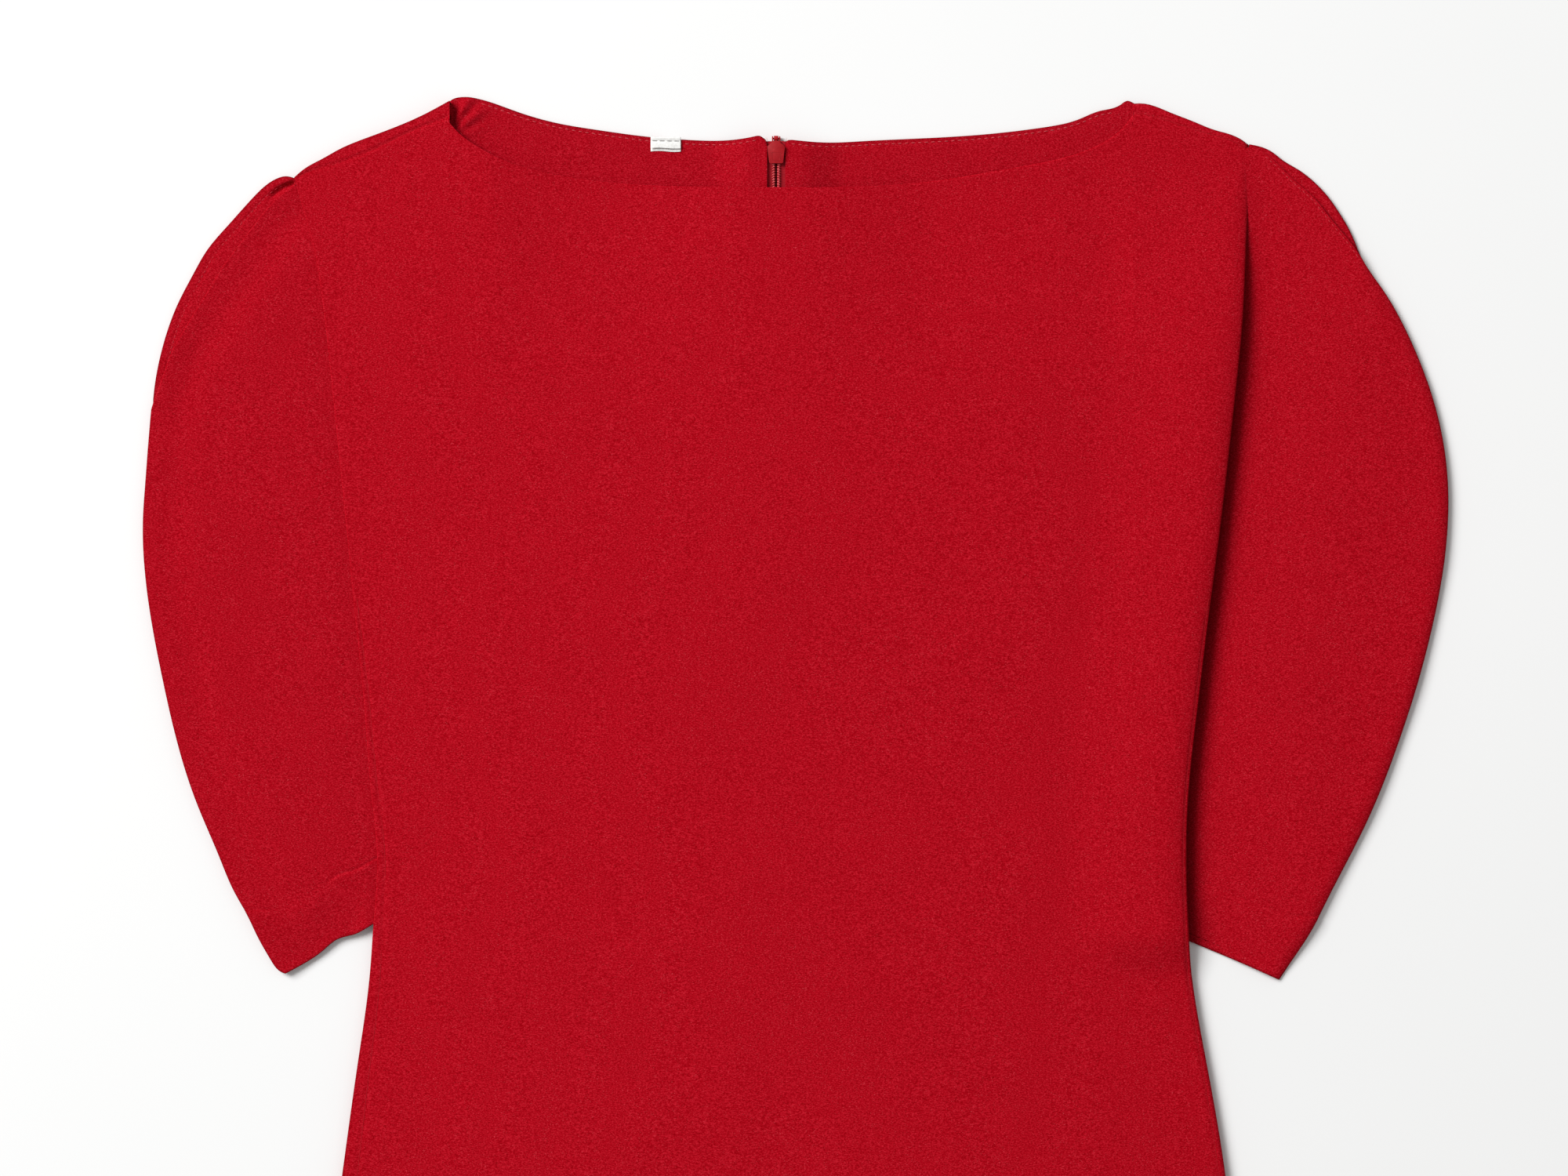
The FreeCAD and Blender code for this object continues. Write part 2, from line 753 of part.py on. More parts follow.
def make_slider():
    """Slider: a shield over the coils, a neck through the slot, a foot and a bridge outside."""
    guide_base = COIL_BASE + " + Sizes.running_gap"
    guide = box(
        "slider_guide_right",
        ("Sizes.slot_half_width + Sizes.coil_width + Sizes.running_gap",
         SLIDER_LOW + " + 0.1 * Sizes.slider_length", guide_base),
        ("Sizes.guide_wall", "0.6 * Sizes.slider_length", "Sizes.coil_height"),
    )
    neck = box(
        "slider_neck",
        ("Sizes.running_gap - Sizes.slot_half_width", SLIDER_TOP + " - Sizes.neck_length", FOOT_BASE),
        ("2 * (Sizes.slot_half_width - Sizes.running_gap)", "Sizes.neck_length",
         SHIELD_BASE + " - (" + FOOT_BASE + ")"),
    )
    foot = box(
        "slider_foot",
        ("-Sizes.foot_width / 2", SLIDER_TOP + " + Sizes.slider_drop - Sizes.running_gap"
         " - Sizes.foot_length", FOOT_BASE),
        ("Sizes.foot_width", "Sizes.foot_length", "Sizes.foot_thickness"),
    )
    lug = box(
        "slider_lug_right",
        ("Sizes.eye_width / 2 + Sizes.running_gap", PIVOT_Y + " - 0.7 * Sizes.lug_length", LUG_BASE),
        ("Sizes.lug_width", "Sizes.lug_length",
         FOOT_BASE + " + Sizes.foot_thickness - (" + LUG_BASE + ")"),
    )
    bar = doc.addObject("Part::Cylinder", "slider_bar")
    bar.Placement = FreeCAD.Placement(V(0, 0, 0), FreeCAD.Rotation(V(0, 1, 0), 90))
    bar.setExpression("Radius", "Sizes.bar_radius")
    bar.setExpression("Height", "Sizes.eye_width + 2 * (Sizes.running_gap + Sizes.lug_width)")
    bar.setExpression("Placement.Base.x", "-Sizes.eye_width / 2 - Sizes.running_gap - Sizes.lug_width")
    bar.setExpression("Placement.Base.y", PIVOT_Y)
    bar.setExpression("Placement.Base.z", PIVOT_Z)
    pieces = [make_shield(), guide, mirror_to_left(guide, "slider_guide_left"), neck, foot]
    pieces += [lug, mirror_to_left(lug, "slider_lug_left"), bar]
    return joined("zipper_slider", "Part::MultiFuse", pieces)


def make_pull():
    """Pull: a flat tab with an eye round the slider's bar, lying under the back."""
    y = value(PIVOT_Y)
    z = value(PIVOT_Z) - size("floor_gap")
    hole = size("bar_radius") + size("running_gap")
    low = y - size("pull_length")
    neck = size("eye_width") / 2
    wide = size("pull_width") / 2
    right = [(wide - 1.5, low), (wide, low + 1.5), (wide, between(y, low, 0.55)),
             (neck, y - size("lug_length") - size("floor_gap")), (neck, y)]
    body = doc.addObject("PartDesign::Body", "zipper_pull")
    outline = body_sketch(body, "pull_outline", "XY_Plane", polygon(right + mirrored(right)))
    pad(body, "pull_tab", outline, "Sizes.pull_thickness")
    ring = body_sketch(body, "pull_ring", "YZ_Plane",
                       [Part.Circle(V(y, z, 0), V(0, 0, 1), hole + size("eye_wall"))])
    pad(body, "pull_eye", ring, "Sizes.eye_width", True)
    bore = body_sketch(body, "pull_hole", "YZ_Plane", [Part.Circle(V(y, z, 0), V(0, 0, 1), hole)])
    pocket = body.newObject("PartDesign::Pocket", "pull_bore")
    pocket.Profile = bore
    pocket.Midplane = True
    pocket.setExpression("Length", "2 * Sizes.pull_width")
    body.setExpression("Placement.Base.z", "Sizes.floor_gap")
    return body


# ---------------------------------------------------------------- label

def make_label():
    """Blank woven label, folded once, hanging from its top edge."""
    thick = size("label_thickness")
    high = size("label_height")
    centre = -size("label_offset")
    top_y = back_neckline_y(size("label_offset")) - size("label_drop")
    low_y = top_y - size("label_length")
    lip_y = top_y - 3 * thick
    profile = [
        (top_y, 0), (low_y, 0), (low_y, high), (lip_y, high), (lip_y, high - thick),
        (low_y + thick, high - thick), (low_y + thick, thick), (top_y, thick),
    ]
    body = doc.addObject("PartDesign::Body", "size_label")
    sketch = body_sketch(body, "label_section", "YZ_Plane", polygon(profile))
    pad(body, "label_pad", sketch, "Sizes.label_width", True)
    body.setExpression("Placement.Base.x", "-Sizes.label_offset")
    body.setExpression("Placement.Base.z", LABEL_Z)
    half = size("label_width") / 2 - size("stitch_length") / 2
    row_y = lip_y - 2 * size("thread_width")
    row = edge([(centre - half, row_y), (centre + half, row_y)])
    stitches = stitch_row(row, value(LABEL_Z) + high, 0.8 * size("stitch_pitch"), size("blind_length"))
    return [body, shaped("label_stitches", Part.Compound(stitches))]


# ---------------------------------------------------------------- the dress

SIDE, SHOULDER = 1, 2
OUTER, INNER = 1, 2
UNDERARM = 6

front_panel = shaped("front_panel", front_panel_shape())
sleeve_front = shaped("sleeve_front_right", sleeve_front_shape())
nodes = [front_panel, sleeve_front, mirror_to_left(sleeve_front, "sleeve_front_left")]
nodes += make_back_panel()
nodes += make_back_facing()
nodes.append(make_front_facing())
nodes += make_sleeve_back()
nodes += make_seam("side_seam", body_stretches(), SIDE, 0, UNDERARM + 1)
nodes += make_seam("shoulder_seam", body_stretches(), SHOULDER, 0, None)
nodes += make_seam("arm_seam", sleeve_stretches(), OUTER, 0, -3)
nodes += make_seam("underarm_seam", sleeve_stretches(), INNER, 3, None)
nodes += make_neck_stitches()
nodes.append(make_front_neck_stitches())
nodes += make_slit_stitches()
nodes += make_cuff_stitches()
nodes.append(make_hem_stitches())
nodes += make_zip_stitches()
nodes += make_tapes_and_coils()
nodes += make_stops()
nodes.append(make_back_seam())
nodes.append(make_slider())
nodes.append(make_pull())
nodes += make_label()

doc.recompute()

for thing in doc.Objects:
    if "Invalid" in thing.State or "Error" in thing.State:
        raise RuntimeError("not built: %s %s" % (thing.Name, thing.State))
for node in nodes:
    if node.Shape.isNull() or not node.Shape.isValid() or not node.Shape.Solids:
        raise RuntimeError("no valid solid: %s" % node.Label)
for node in nodes:
    node.Shape.exportStep("parts/%s.step" % node.Label)
    bounds = node.Shape.BoundBox
    print("%-24s %3d solids %10.1f mm3  x %7.1f %7.1f  y %7.1f %7.1f  z %6.2f %6.2f" % (
        node.Label, len(node.Shape.Solids), node.Shape.Volume,
        bounds.XMin, bounds.XMax, bounds.YMin, bounds.YMax, bounds.ZMin, bounds.ZMax))
print("hinges: pull y %.2f z %.2f, label y %.2f z %.3f" % (
    value(PIVOT_Y), value(PIVOT_Z),
    back_neckline_y(size("label_offset")) - size("label_drop"),
    value(LABEL_Z) + size("label_thickness") / 2))
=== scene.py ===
import json
import math
from functools import partial

import bmesh
import bpy
import numpy as np
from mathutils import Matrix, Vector, noise


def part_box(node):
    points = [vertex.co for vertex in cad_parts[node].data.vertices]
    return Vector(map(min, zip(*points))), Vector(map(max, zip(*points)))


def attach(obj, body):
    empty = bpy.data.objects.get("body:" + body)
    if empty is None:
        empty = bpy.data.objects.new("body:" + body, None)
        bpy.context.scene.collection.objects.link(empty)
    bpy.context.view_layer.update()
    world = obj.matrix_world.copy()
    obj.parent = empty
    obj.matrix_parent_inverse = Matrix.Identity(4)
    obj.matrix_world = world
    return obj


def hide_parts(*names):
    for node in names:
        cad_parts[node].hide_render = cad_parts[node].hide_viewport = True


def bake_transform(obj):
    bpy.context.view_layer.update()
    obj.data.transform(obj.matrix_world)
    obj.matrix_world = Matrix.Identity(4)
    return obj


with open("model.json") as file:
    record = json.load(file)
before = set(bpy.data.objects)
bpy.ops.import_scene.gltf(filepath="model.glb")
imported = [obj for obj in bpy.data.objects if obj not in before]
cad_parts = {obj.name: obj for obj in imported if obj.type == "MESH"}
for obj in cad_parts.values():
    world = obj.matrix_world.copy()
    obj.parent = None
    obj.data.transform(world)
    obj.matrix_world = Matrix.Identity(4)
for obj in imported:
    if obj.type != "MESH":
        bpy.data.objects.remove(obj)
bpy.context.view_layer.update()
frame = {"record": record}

# A red crepe dress laid flat on its back. Shapes are worked out in millimetres, X across
# from the zip, and "drop" is a distance below the neck corners, measured towards the hem.

MM = 0.001


def reach(node):
    """Lowest and highest corner of a CAD node, in millimetres."""
    low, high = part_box(node)
    return np.array(low) / MM, np.array(high) / MM


FRONT_LOW, FRONT_HIGH = reach("front_panel")
TOP = FRONT_HIGH[1]
ZIP_LOW, ZIP_HIGH = reach("zipper_tape_right")
COIL_LOW, COIL_HIGH = reach("zipper_coil_right")

# Thicknesses of cloth and lining, the gap kept above the floor, the depth of every turned hem.
CLOTH, LINING = 0.6, 0.35
FLOOR_GAP = 0.02
HEM_RISE = 32.0
CHUNK = 4000  # places whose distances are worked out at a time


# ---------------------------------------------------------------- curves

def cubic(knots, values, where):
    """Natural cubic spline through values at the knots, read at the places in where."""
    knots = np.array(knots, float)
    values = np.array(values, float)
    steps = np.diff(knots)
    count = len(knots)
    matrix = np.eye(count)
    right = np.zeros(values.shape)
    for i in range(1, count - 1):
        matrix[i, i - 1:i + 2] = steps[i - 1], 2 * (steps[i - 1] + steps[i]), steps[i]
        after = (values[i + 1] - values[i]) / steps[i]
        before = (values[i] - values[i - 1]) / steps[i - 1]
        right[i] = 6 * (after - before)
    curve = np.linalg.solve(matrix, right)
    where = np.clip(where, knots[0], knots[-1])
    k = np.clip(np.searchsorted(knots, where) - 1, 0, count - 2)
    width = steps[k]
    a = (knots[k + 1] - where) / width
    if values.ndim > 1:
        width = width[..., None]
        a = a[..., None]
    b = 1 - a
    bend = (a ** 3 - a) * curve[k] + (b ** 3 - b) * curve[k + 1]
    return a * values[k] + b * values[k + 1] + bend * width ** 2 / 6


def run_length(points):
    steps = np.linalg.norm(np.diff(points, axis=0), axis=1)
    return np.concatenate([[0], np.cumsum(steps)])


def smooth(points, count=400):
    """Evenly spaced points on a smooth line through the given ones."""
    points = np.array(points, float)
    knots = run_length(points)
    dense = cubic(knots, points, np.linspace(0, knots[-1], 12 * count))
    return along(dense, np.linspace(0, 1, count))


def along(points, shares):
    """Points at the given shares of a polyline's length."""
    length = run_length(points)
    where = np.asarray(shares) * length[-1]
    return np.stack([np.interp(where, length, points[:, k]) for k in range(points.shape[1])], 1)


def plan(pairs):
    """(x, drop) pairs as (x, y)."""
    return [(x, TOP - drop) for x, drop in pairs]


def drop_of(points):
    return TOP - points[:, 1]


def blend_step(low, high, value):
    """Smooth step from 0 at low to 1 at high."""
    t = np.clip((value - low) / (high - low), 0, 1)
    return t * t * (3 - 2 * t)


def ripple(x, y, size, seed):
    """Soft noise of about -1 to 1, with features of the given size."""
    flat_x, flat_y = np.broadcast_arrays(x, y)
    out = [noise.noise(Vector((a / size, b / size, seed)))
           for a, b in zip(flat_x.ravel(), flat_y.ravel())]
    return np.array(out).reshape(flat_x.shape) * 1.6


# ---------------------------------------------------------------- outlines of the laid dress

RIGHT_SIDE = [
    (240, 970), (236, 735), (231, 635), (225, 548), (214, 480), (206.5, 435), (204.6, 412),
    (203.6, 381), (205.1, 342), (209.4, 303), (214.1, 264), (219.2, 225), (223.9, 186), (228.2, 147),
    (232, 108), (234.2, 69), (235.4, 46), (235.4, 23.8),
]
LEFT_SIDE = [
    (-240, 970), (-235, 735), (-229, 635), (-217.5, 548), (-208, 480), (-202, 435), (-200.5, 414),
    (-198.6, 380), (-202, 342), (-205, 303), (-209, 264), (-212.9, 225), (-216.8, 186), (-220.8, 147),
    (-226, 100), (-231, 72), (-236.5, 53), (-239.9, 40.4),
]
LEFT_SHOULDER = [(-239.9, 40.4), (-234.1, 35.6), (-226.4, 31.4), (-217.6, 26.5), (-202.8, 20.4),
                 (-175.5, 9.4), (-162.4, 2.4)]
RIGHT_SHOULDER = [(177.6, 3.4), (182, 3.2), (195.8, 7.5), (208.8, 12.6), (218, 16.3), (226.2, 18.6),
                  (231.5, 21), (235.4, 23.8)]
FRONT_NECK = [(-162.4, 13.5), (-158.4, 18), (-149, 25), (-136.5, 31.6), (-113, 38.5), (-74, 43.6),
              (0, 45.7), (60, 44), (121, 35), (160, 24.2), (171.6, 16.4), (177.6, 9)]
BACK_NECK_LEFT = [(-165.5, 7), (-163.2, 2.6), (-160.5, 0.7), (-156.4, 0), (-144.9, 1.8),
                  (-129.1, 7.3), (-110, 12.8), (-89.7, 16.3),
                  (-62, 20.0), (-46.8, 21.2), (-32.4, 21.8), (-14.4, 20.8), (-8.6, 19.6)]
BACK_NECK_RIGHT = [(7.2, 21.7), (19.5, 22.7), (42.9, 22), (72, 20.6), (99, 19), (134, 15), (151, 11),
                   (161, 7), (171.8, 3.7), (174.7, 1.9), (178.6, 3.4)]
LEFT_OUTER = [(-244.5, 436.8), (-247, 435.7), (-251.8, 429.8), (-258, 418.6), (-263, 408), (-269.9, 395.6),
              (-277, 379), (-289.1, 350), (-298.7, 319), (-305.8, 288), (-311.6, 257), (-315.1, 210),
              (-314.1, 194), (-311.6, 161.5), (-308.9, 139.5), (-303.2, 116.5), (-298.2, 103.5),
              (-290.4, 88.4), (-283.1, 75.9), (-273.8, 64.9), (-260.1, 49.7), (-250, 41.3), (-243.4, 39.6),
              (-239.7, 40.6)]
LEFT_SLIT = [(-310.6, 154.2), (-308.7, 148.7), (-305, 138.5), (-301.4, 128.4), (-295, 116.5),
             (-289.4, 107.3), (-283, 97.1), (-273.8, 82.4), (-264.6, 70.3), (-256.3, 59.2), (-247, 49.5),
             (-240.2, 44.4)]
RIGHT_OUTER = [(250.7, 440), (256, 432), (267.9, 413), (272.2, 404.4), (291.9, 366), (310.9, 319),
               (324.9, 272), (333.5, 225), (334.6, 194), (329, 157), (320.6, 132), (313.3, 115.7),
               (300.7, 94.1), (293.9, 84.4), (285.7, 66.5), (280.4, 57.5), (274.6, 49.3), (268.6, 42.9),
               (259.6, 35.9), (252.1, 31.4), (246.9, 27.3), (240.9, 24.7), (235.7, 23.6)]
RIGHT_SLIT = [(294.4, 85.4), (288, 75.6), (282, 68), (274.6, 59), (270, 53), (262.6, 45.6), (257.4, 41.1),
              (252.1, 35.9), (246.9, 30.9), (240.9, 26.8), (236, 25.2)]
LEFT_CUFF = [(-244.5, 436.8), (-235.2, 431.8), (-226, 425.6), (-217.7, 419.3), (-210, 417.2),
             (-204.5, 414.4), (-199, 411)]
RIGHT_CUFF = [(250.7, 440), (236, 433.4), (220, 426.6), (204, 420)]
SHOULDER_SEAM_LEFT = [(-237, 39.5), (-229, 36.3), (-222, 34.4), (-201.8, 27), (-178, 16), (-163.2, 10.6)]
SHOULDER_SEAM_RIGHT = [(178.5, 8), (186, 9.5), (200, 13.6), (214, 18.2), (228, 22.4), (234.5, 25.5)]

SIGNS = {"left": -1, "right": 1}
SHOULDERS = {"left": LEFT_SHOULDER, "right": RIGHT_SHOULDER}
BACK_NECKS = {"left": BACK_NECK_LEFT, "right": BACK_NECK_RIGHT}
SHOULDER_SEAMS = {"left": SHOULDER_SEAM_LEFT, "right": SHOULDER_SEAM_RIGHT}
SIDES = {"left": smooth(plan(LEFT_SIDE)), "right": smooth(plan(RIGHT_SIDE))}


def side_x(side, y):
    """X of the body's edge at the level y."""
    edge = SIDES[side]
    return np.interp(y, edge[:, 1], edge[:, 0])


def side_share(x, y):
    left = side_x("left", y)
    return (x - left) / (side_x("right", y) - left)


# ---------------------------------------------------------------- how the cloth lies

class Edge:
    """A stretch of outline where the cloth rolls over, with its roll radius and how far it falls."""

    def __init__(self, points, radius, fall):
        self.points = np.asarray(points, float)
        self.radius = np.broadcast_to(radius, len(self.points)).astype(float)
        self.fall = np.broadcast_to(fall, len(self.points)).astype(float)

    def lower(self, x, y, z):
        """z with the cloth rolled down towards this edge."""
        pairs = np.stack([x.ravel(), y.ravel()], 1)
        flat = z.ravel().copy()
        near = near_line(pairs, self.points, self.radius.max() + 3)
        for chunk, k, distance in line_distances(pairs, self.points, near):
            t = 1 - np.clip(distance / self.radius[k], 0, 1)
            flat[chunk] -= self.fall[k] * (1 - np.sqrt(np.clip(1 - t * t, 0, 1)))
        return flat.reshape(z.shape)


def segment_distance(pairs, line, k):
    """Distance from each pair to the stretches of the line on either side of its point k."""
    best = np.full(len(pairs), 1e9)
    for first in (np.clip(k - 1, 0, len(line) - 2), np.clip(k, 0, len(line) - 2)):
        a = line[first]
        d = line[first + 1] - a
        t = np.clip(((pairs - a) * d).sum(1) / (d * d).sum(1), 0, 1)
        best = np.minimum(best, np.linalg.norm(pairs - a - d * t[:, None], axis=1))
    return best


def near_line(pairs, line, limit):
    """Numbers of the pairs that lie within limit of the box around the line."""
    low, high = line.min(0) - limit, line.max(0) + limit
    return np.where(((pairs > low) & (pairs < high)).all(1))[0]


def line_distances(pairs, line, which):
    """Chunk by chunk: numbers of pairs, the line's point nearest to each and its distance."""
    for chunk in np.array_split(which, max(1, len(which) // CHUNK)):
        if len(chunk):
            k = np.linalg.norm(pairs[chunk, None, :] - line[None, :, :], axis=2).argmin(1)
            yield chunk, k, segment_distance(pairs[chunk], line, k)


def distance_to(x, y, line):
    """Distance of each place from a line in plan."""
    pairs = np.stack([np.ravel(x), np.ravel(y)], 1)
    out = np.zeros(len(pairs))
    for chunk, _, distance in line_distances(pairs, line, np.arange(len(pairs))):
        out[chunk] = distance
    return out.reshape(np.shape(x))


def groove(x, y, z, line, depth, width):
    """z pressed down along a seam line."""
    line = np.asarray(line, float)
    pairs = np.stack([x.ravel(), y.ravel()], 1)
    flat = z.ravel().copy()
    for chunk, _, distance in line_distances(pairs, line, near_line(pairs, line, 4 * width)):
        flat[chunk] -= depth * np.exp(-(distance / width) ** 2)
    return flat.reshape(z.shape)


def level(height):
    """A flat surface."""
    return lambda x, y: 0 * x + height


def lowered(surface, depth):
    """A surface that runs below another."""
    return lambda x, y: surface(x, y) - depth


UNDER_SLEEVE = 3.3
LIT_ROLL = 0.7
OVERHANG = 5.6  # how far the front's right edge stands up over the sleeve
BACK_LEVEL, BACK_LIFT = 0.72, 3.55
FACING_LEVEL, FACING_LIFT, FACING_LIFT_LEFT = 2.05, 3.85, 0.8
SIDE_GROOVE, SHOULDER_GROOVE = 0.6, 0.7


def beside_sleeve(drop):
    """1 where a sleeve comes out from under the body's edge, 0 above and below."""
    return blend_step(440, 415, drop) * blend_step(30, 60, drop)


def right_roll():
    drop = TOP - SIDES["right"][:, 1]
    wide = beside_sleeve(drop)
    return 4.5 + 6.5 * wide, 1.8 + 1.0 * wide


FRONT_EDGES = [
    Edge(SIDES["left"], LIT_ROLL, 0.5),
    Edge(SIDES["right"], *right_roll()),
    Edge(smooth(plan(LEFT_SHOULDER), 120), LIT_ROLL, 0.5),
    Edge(smooth(plan(RIGHT_SHOULDER), 120), 3.5, 1.6),
    Edge(smooth(plan(FRONT_NECK), 300)[200:], 1.3, 0.6),
]


def side_seam(side):
    """Line of the side seam, a little inside the body's edge."""
    y = np.linspace(FRONT_LOW[1], TOP - 250, 260)
    drop = TOP - y
    inset = {"left": np.interp(drop, [250, 400, 540, 970], [2.0, 4.4, 7.6, 8.0]),
             "right": np.interp(drop, [250, 400, 540, 970], [1.4, 1.6, 3.6, 6.0])}[side]
    return np.stack([side_x(side, y) - SIGNS[side] * inset, y], 1)


def neck_gap(x, drop):
    """How far a point lies below the front neckline."""
    line = smooth(FRONT_NECK, 200)
    return drop - np.interp(x, line[:, 0], line[:, 1])


def front_height(x, y):
    """Outer surface of the front of the body."""
    share = side_share(x, y)
    drop = TOP - y
    torso = cubic([0, 0.05, 0.2, 0.38, 0.5, 0.62, 0.8, 0.92, 0.96, 1],
                  [5.5, 5.8, 7.2, 8.5, 8.7, 8.6, 8.2, 7.3, 6.8, 6.2], share)
    overhang = blend_step(440, 415, drop) * blend_step(22, 66, drop)
    torso = torso + OVERHANG * overhang * blend_step(0.84, 0.98, share)
    skirt = cubic([0, 0.12, 0.3, 0.5, 0.7, 0.88, 1], [4.4, 5.4, 4.8, 5.2, 4.7, 5.2, 3.4], share)
    z = torso + (skirt - torso) * blend_step(590, 940, drop)
    shoulder = blend_step(0.33, 0.46, np.abs(share - 0.5)) * blend_step(110, 30, drop)
    z = z - (0.6 + 2.6 * (share > 0.5)) * shoulder
    waves = 0.36 * ripple(x + 0.5 * y, y - 0.3 * x, 95, 3.1) + 0.12 * ripple(x, y, 38, 7.7)
    z = z + waves * blend_step(0.5, 0.42, np.abs(share - 0.5)) * blend_step(44, 90, drop)
    z = z + 1.1 * ripple(x, 0.25 * y, 70, 5.5) * blend_step(700, 960, drop)
    closeness = blend_step(130, 4, neck_gap(x, drop)) * blend_step(10, 85, np.abs(x))
    low_neck = 4.3 + 3.4 * blend_step(-95, -158, x) - 0.8 * blend_step(140, 165, x)
    z = z + (np.minimum(z, low_neck) - z) * closeness
    for edge in FRONT_EDGES:
        z = edge.lower(x, y, z)
    for side in SIDES:
        z = groove(x, y, z, side_seam(side)[::4], 0.35, SIDE_GROOVE)
    z = groove(x, y, z, smooth(plan(SHOULDER_SEAM_LEFT), 60), 0.6, SHOULDER_GROOVE)
    return groove(x, y, z, smooth(plan(SHOULDER_SEAM_RIGHT), 60), 0.35, SHOULDER_GROOVE)


def facing_height(x, y):
    """Inner surface of the back neck facings, lifted over the zip and folded in the left corner."""
    drop = TOP - y
    lift = blend_step(34, 11, np.abs(x))
    z = FACING_LEVEL + (FACING_LIFT + FACING_LIFT_LEFT * (x < 0)) * lift + 0.12 * ripple(x, y, 22, 1.3)
    corner = np.exp(-((x + 154) / 8) ** 2 - ((drop - 8) / 8) ** 2)
    spoke = np.arctan2(drop - 22, x + 166)
    hollow = np.exp(-((x + 160.5) / 2.6) ** 2 - ((drop - 10) / 8) ** 2)
    z = z + corner * (1.3 + 1.1 * np.sin(spoke * 17.0)) - 1.7 * hollow
    return z + 0.35 * blend_step(150, 168, x) * blend_step(24, 8, drop)


# ---------------------------------------------------------------- meshes

def new_object(name, verts, faces, smooth_shaded=True):
    mesh = bpy.data.meshes.new(name)
    mesh.from_pydata([tuple(v) for v in np.asarray(verts) * MM], [], faces)
    mesh.validate()
    if smooth_shaded:
        mesh.shade_smooth()
    obj = bpy.data.objects.new(name, mesh)
    bpy.context.collection.objects.link(obj)
    return obj


def face_up(obj):
    """Turns every face of an open sheet the same way, upwards."""
    work = bmesh.new()
    work.from_mesh(obj.data)
    bmesh.ops.recalc_face_normals(work, faces=work.faces)
    total = sum(face.normal.z * face.calc_area() for face in work.faces)
    if total < 0:
        bmesh.ops.reverse_faces(work, faces=work.faces)
    work.to_mesh(obj.data)
    work.free()
    obj.data.shade_smooth()


def spaced(length, fine, fine_run, coarse, start_fine=True, end_fine=True, growth=1.22):
    """Shares from 0 to 1 with fine steps near the ends and coarse ones between."""
    ends = []
    run, step = 0.0, fine
    while run < fine_run:
        ends.append(step)
        run += step
        step = min(step * growth, coarse)
    middle = length - run * (start_fine + end_fine)
    count = max(2, int(round(middle / coarse)))
    cells = ends * start_fine + [middle / count] * count + ends[::-1] * end_fine
    shares = np.concatenate([[0], np.cumsum(cells)])
    return shares / shares[-1]


def coons(bottom, right, top, left, us, vs):
    """Grid of plan points filled in between four edges, bottom and top running left to right."""
    b, t = along(bottom, us), along(top, us)
    l, r = along(left, vs), along(right, vs)
    u, v = us[None, :, None], vs[:, None, None]
    grid = (1 - v) * b[None] + v * t[None] + (1 - u) * l[:, None] + u * r[:, None]
    corners = ((1 - u) * (1 - v) * bottom[0] + u * (1 - v) * bottom[-1]
               + (1 - u) * v * top[0] + u * v * top[-1])
    return grid - corners


def body_grid(columns, outline, shares, inner):
    """Plan grid of a body panel. columns are X places along the outline of its top edge; each runs
    straight down, except that those beyond the inner pair of places follow the body's sides."""
    outline = np.asarray(outline, float)
    top = np.interp(columns, outline[:, 0], outline[:, 1])
    y = FRONT_LOW[1] + (top[None, :] - FRONT_LOW[1]) * shares[:, None]
    x = np.broadcast_to(columns, y.shape).copy()
    for side, start, beyond in (("left", inner[0], columns < inner[0]),
                                ("right", inner[1], columns > inner[1])):
        end = SIDES[side][-1, 0]
        stretch = (side_x(side, y) - start) / (end - start)
        x = np.where(beyond[None, :], start + (columns[None, :] - start) * stretch, x)
    return np.dstack([x, y])


def inward(points, inside):
    """Unit normals of an open line in plan, towards the point inside."""
    tangent = np.gradient(points, axis=0)
    normal = np.stack([-tangent[:, 1], tangent[:, 0]], 1)
    normal /= np.linalg.norm(normal, axis=1)[:, None] + 1e-9
    flip = ((np.asarray(inside) - points) * normal).sum(1)
    sign = 1 if np.median(np.sign(flip)) >= 0 else -1
    return normal * sign


def rolled_rim(points, inside, low, tuck, last=2.0, rows=5):
    """Rows of points that carry a sheet round its edge and in underneath."""
    normal = inward(points[:, :2], inside)
    low = np.minimum(np.broadcast_to(low, len(points)), points[:, 2] - 0.05)
    tuck = np.broadcast_to(tuck, len(points))
    out = []
    for k in range(1, rows + 1):
        angle = math.pi / 2 * k / rows
        shift = normal * (tuck * (1 - math.cos(angle)))[:, None]
        z = points[:, 2] - (points[:, 2] - low) * math.sin(angle)
        out.append(np.column_stack([points[:, :2] + shift, z]))
    shift = normal * (tuck + last)[:, None]
    out.append(np.column_stack([points[:, :2] + shift, low]))
    return out


def painted_shade_share(grid, edges):
    """How much painted shade each grid point gets from the named edges: 1 on them, falling off inwards.

    A weight may come with the run in which it falls off, otherwise 0.9 mm."""
    across = np.linalg.norm(np.diff(grid, axis=1), axis=2)
    down = np.linalg.norm(np.diff(grid, axis=0), axis=2)
    rows, columns = grid.shape[:2]
    from_left = np.hstack([np.zeros((rows, 1)), np.cumsum(across, 1)])
    from_bottom = np.vstack([np.zeros((1, columns)), np.cumsum(down, 0)])
    runs = {"left": from_left, "right": from_left[:, -1:] - from_left,
            "bottom": from_bottom, "top": from_bottom[-1:] - from_bottom}
    out = np.zeros((rows, columns))
    for name, weight in edges.items():
        weight, reach_in = weight if isinstance(weight, tuple) else (weight, 0.9)
        weight = np.asarray(weight, float)
        if weight.ndim and name in ("left", "right"):
            weight = weight[:, None]
        out = np.maximum(out, weight * np.exp(-(runs[name] / reach_in) ** 2))
    return out


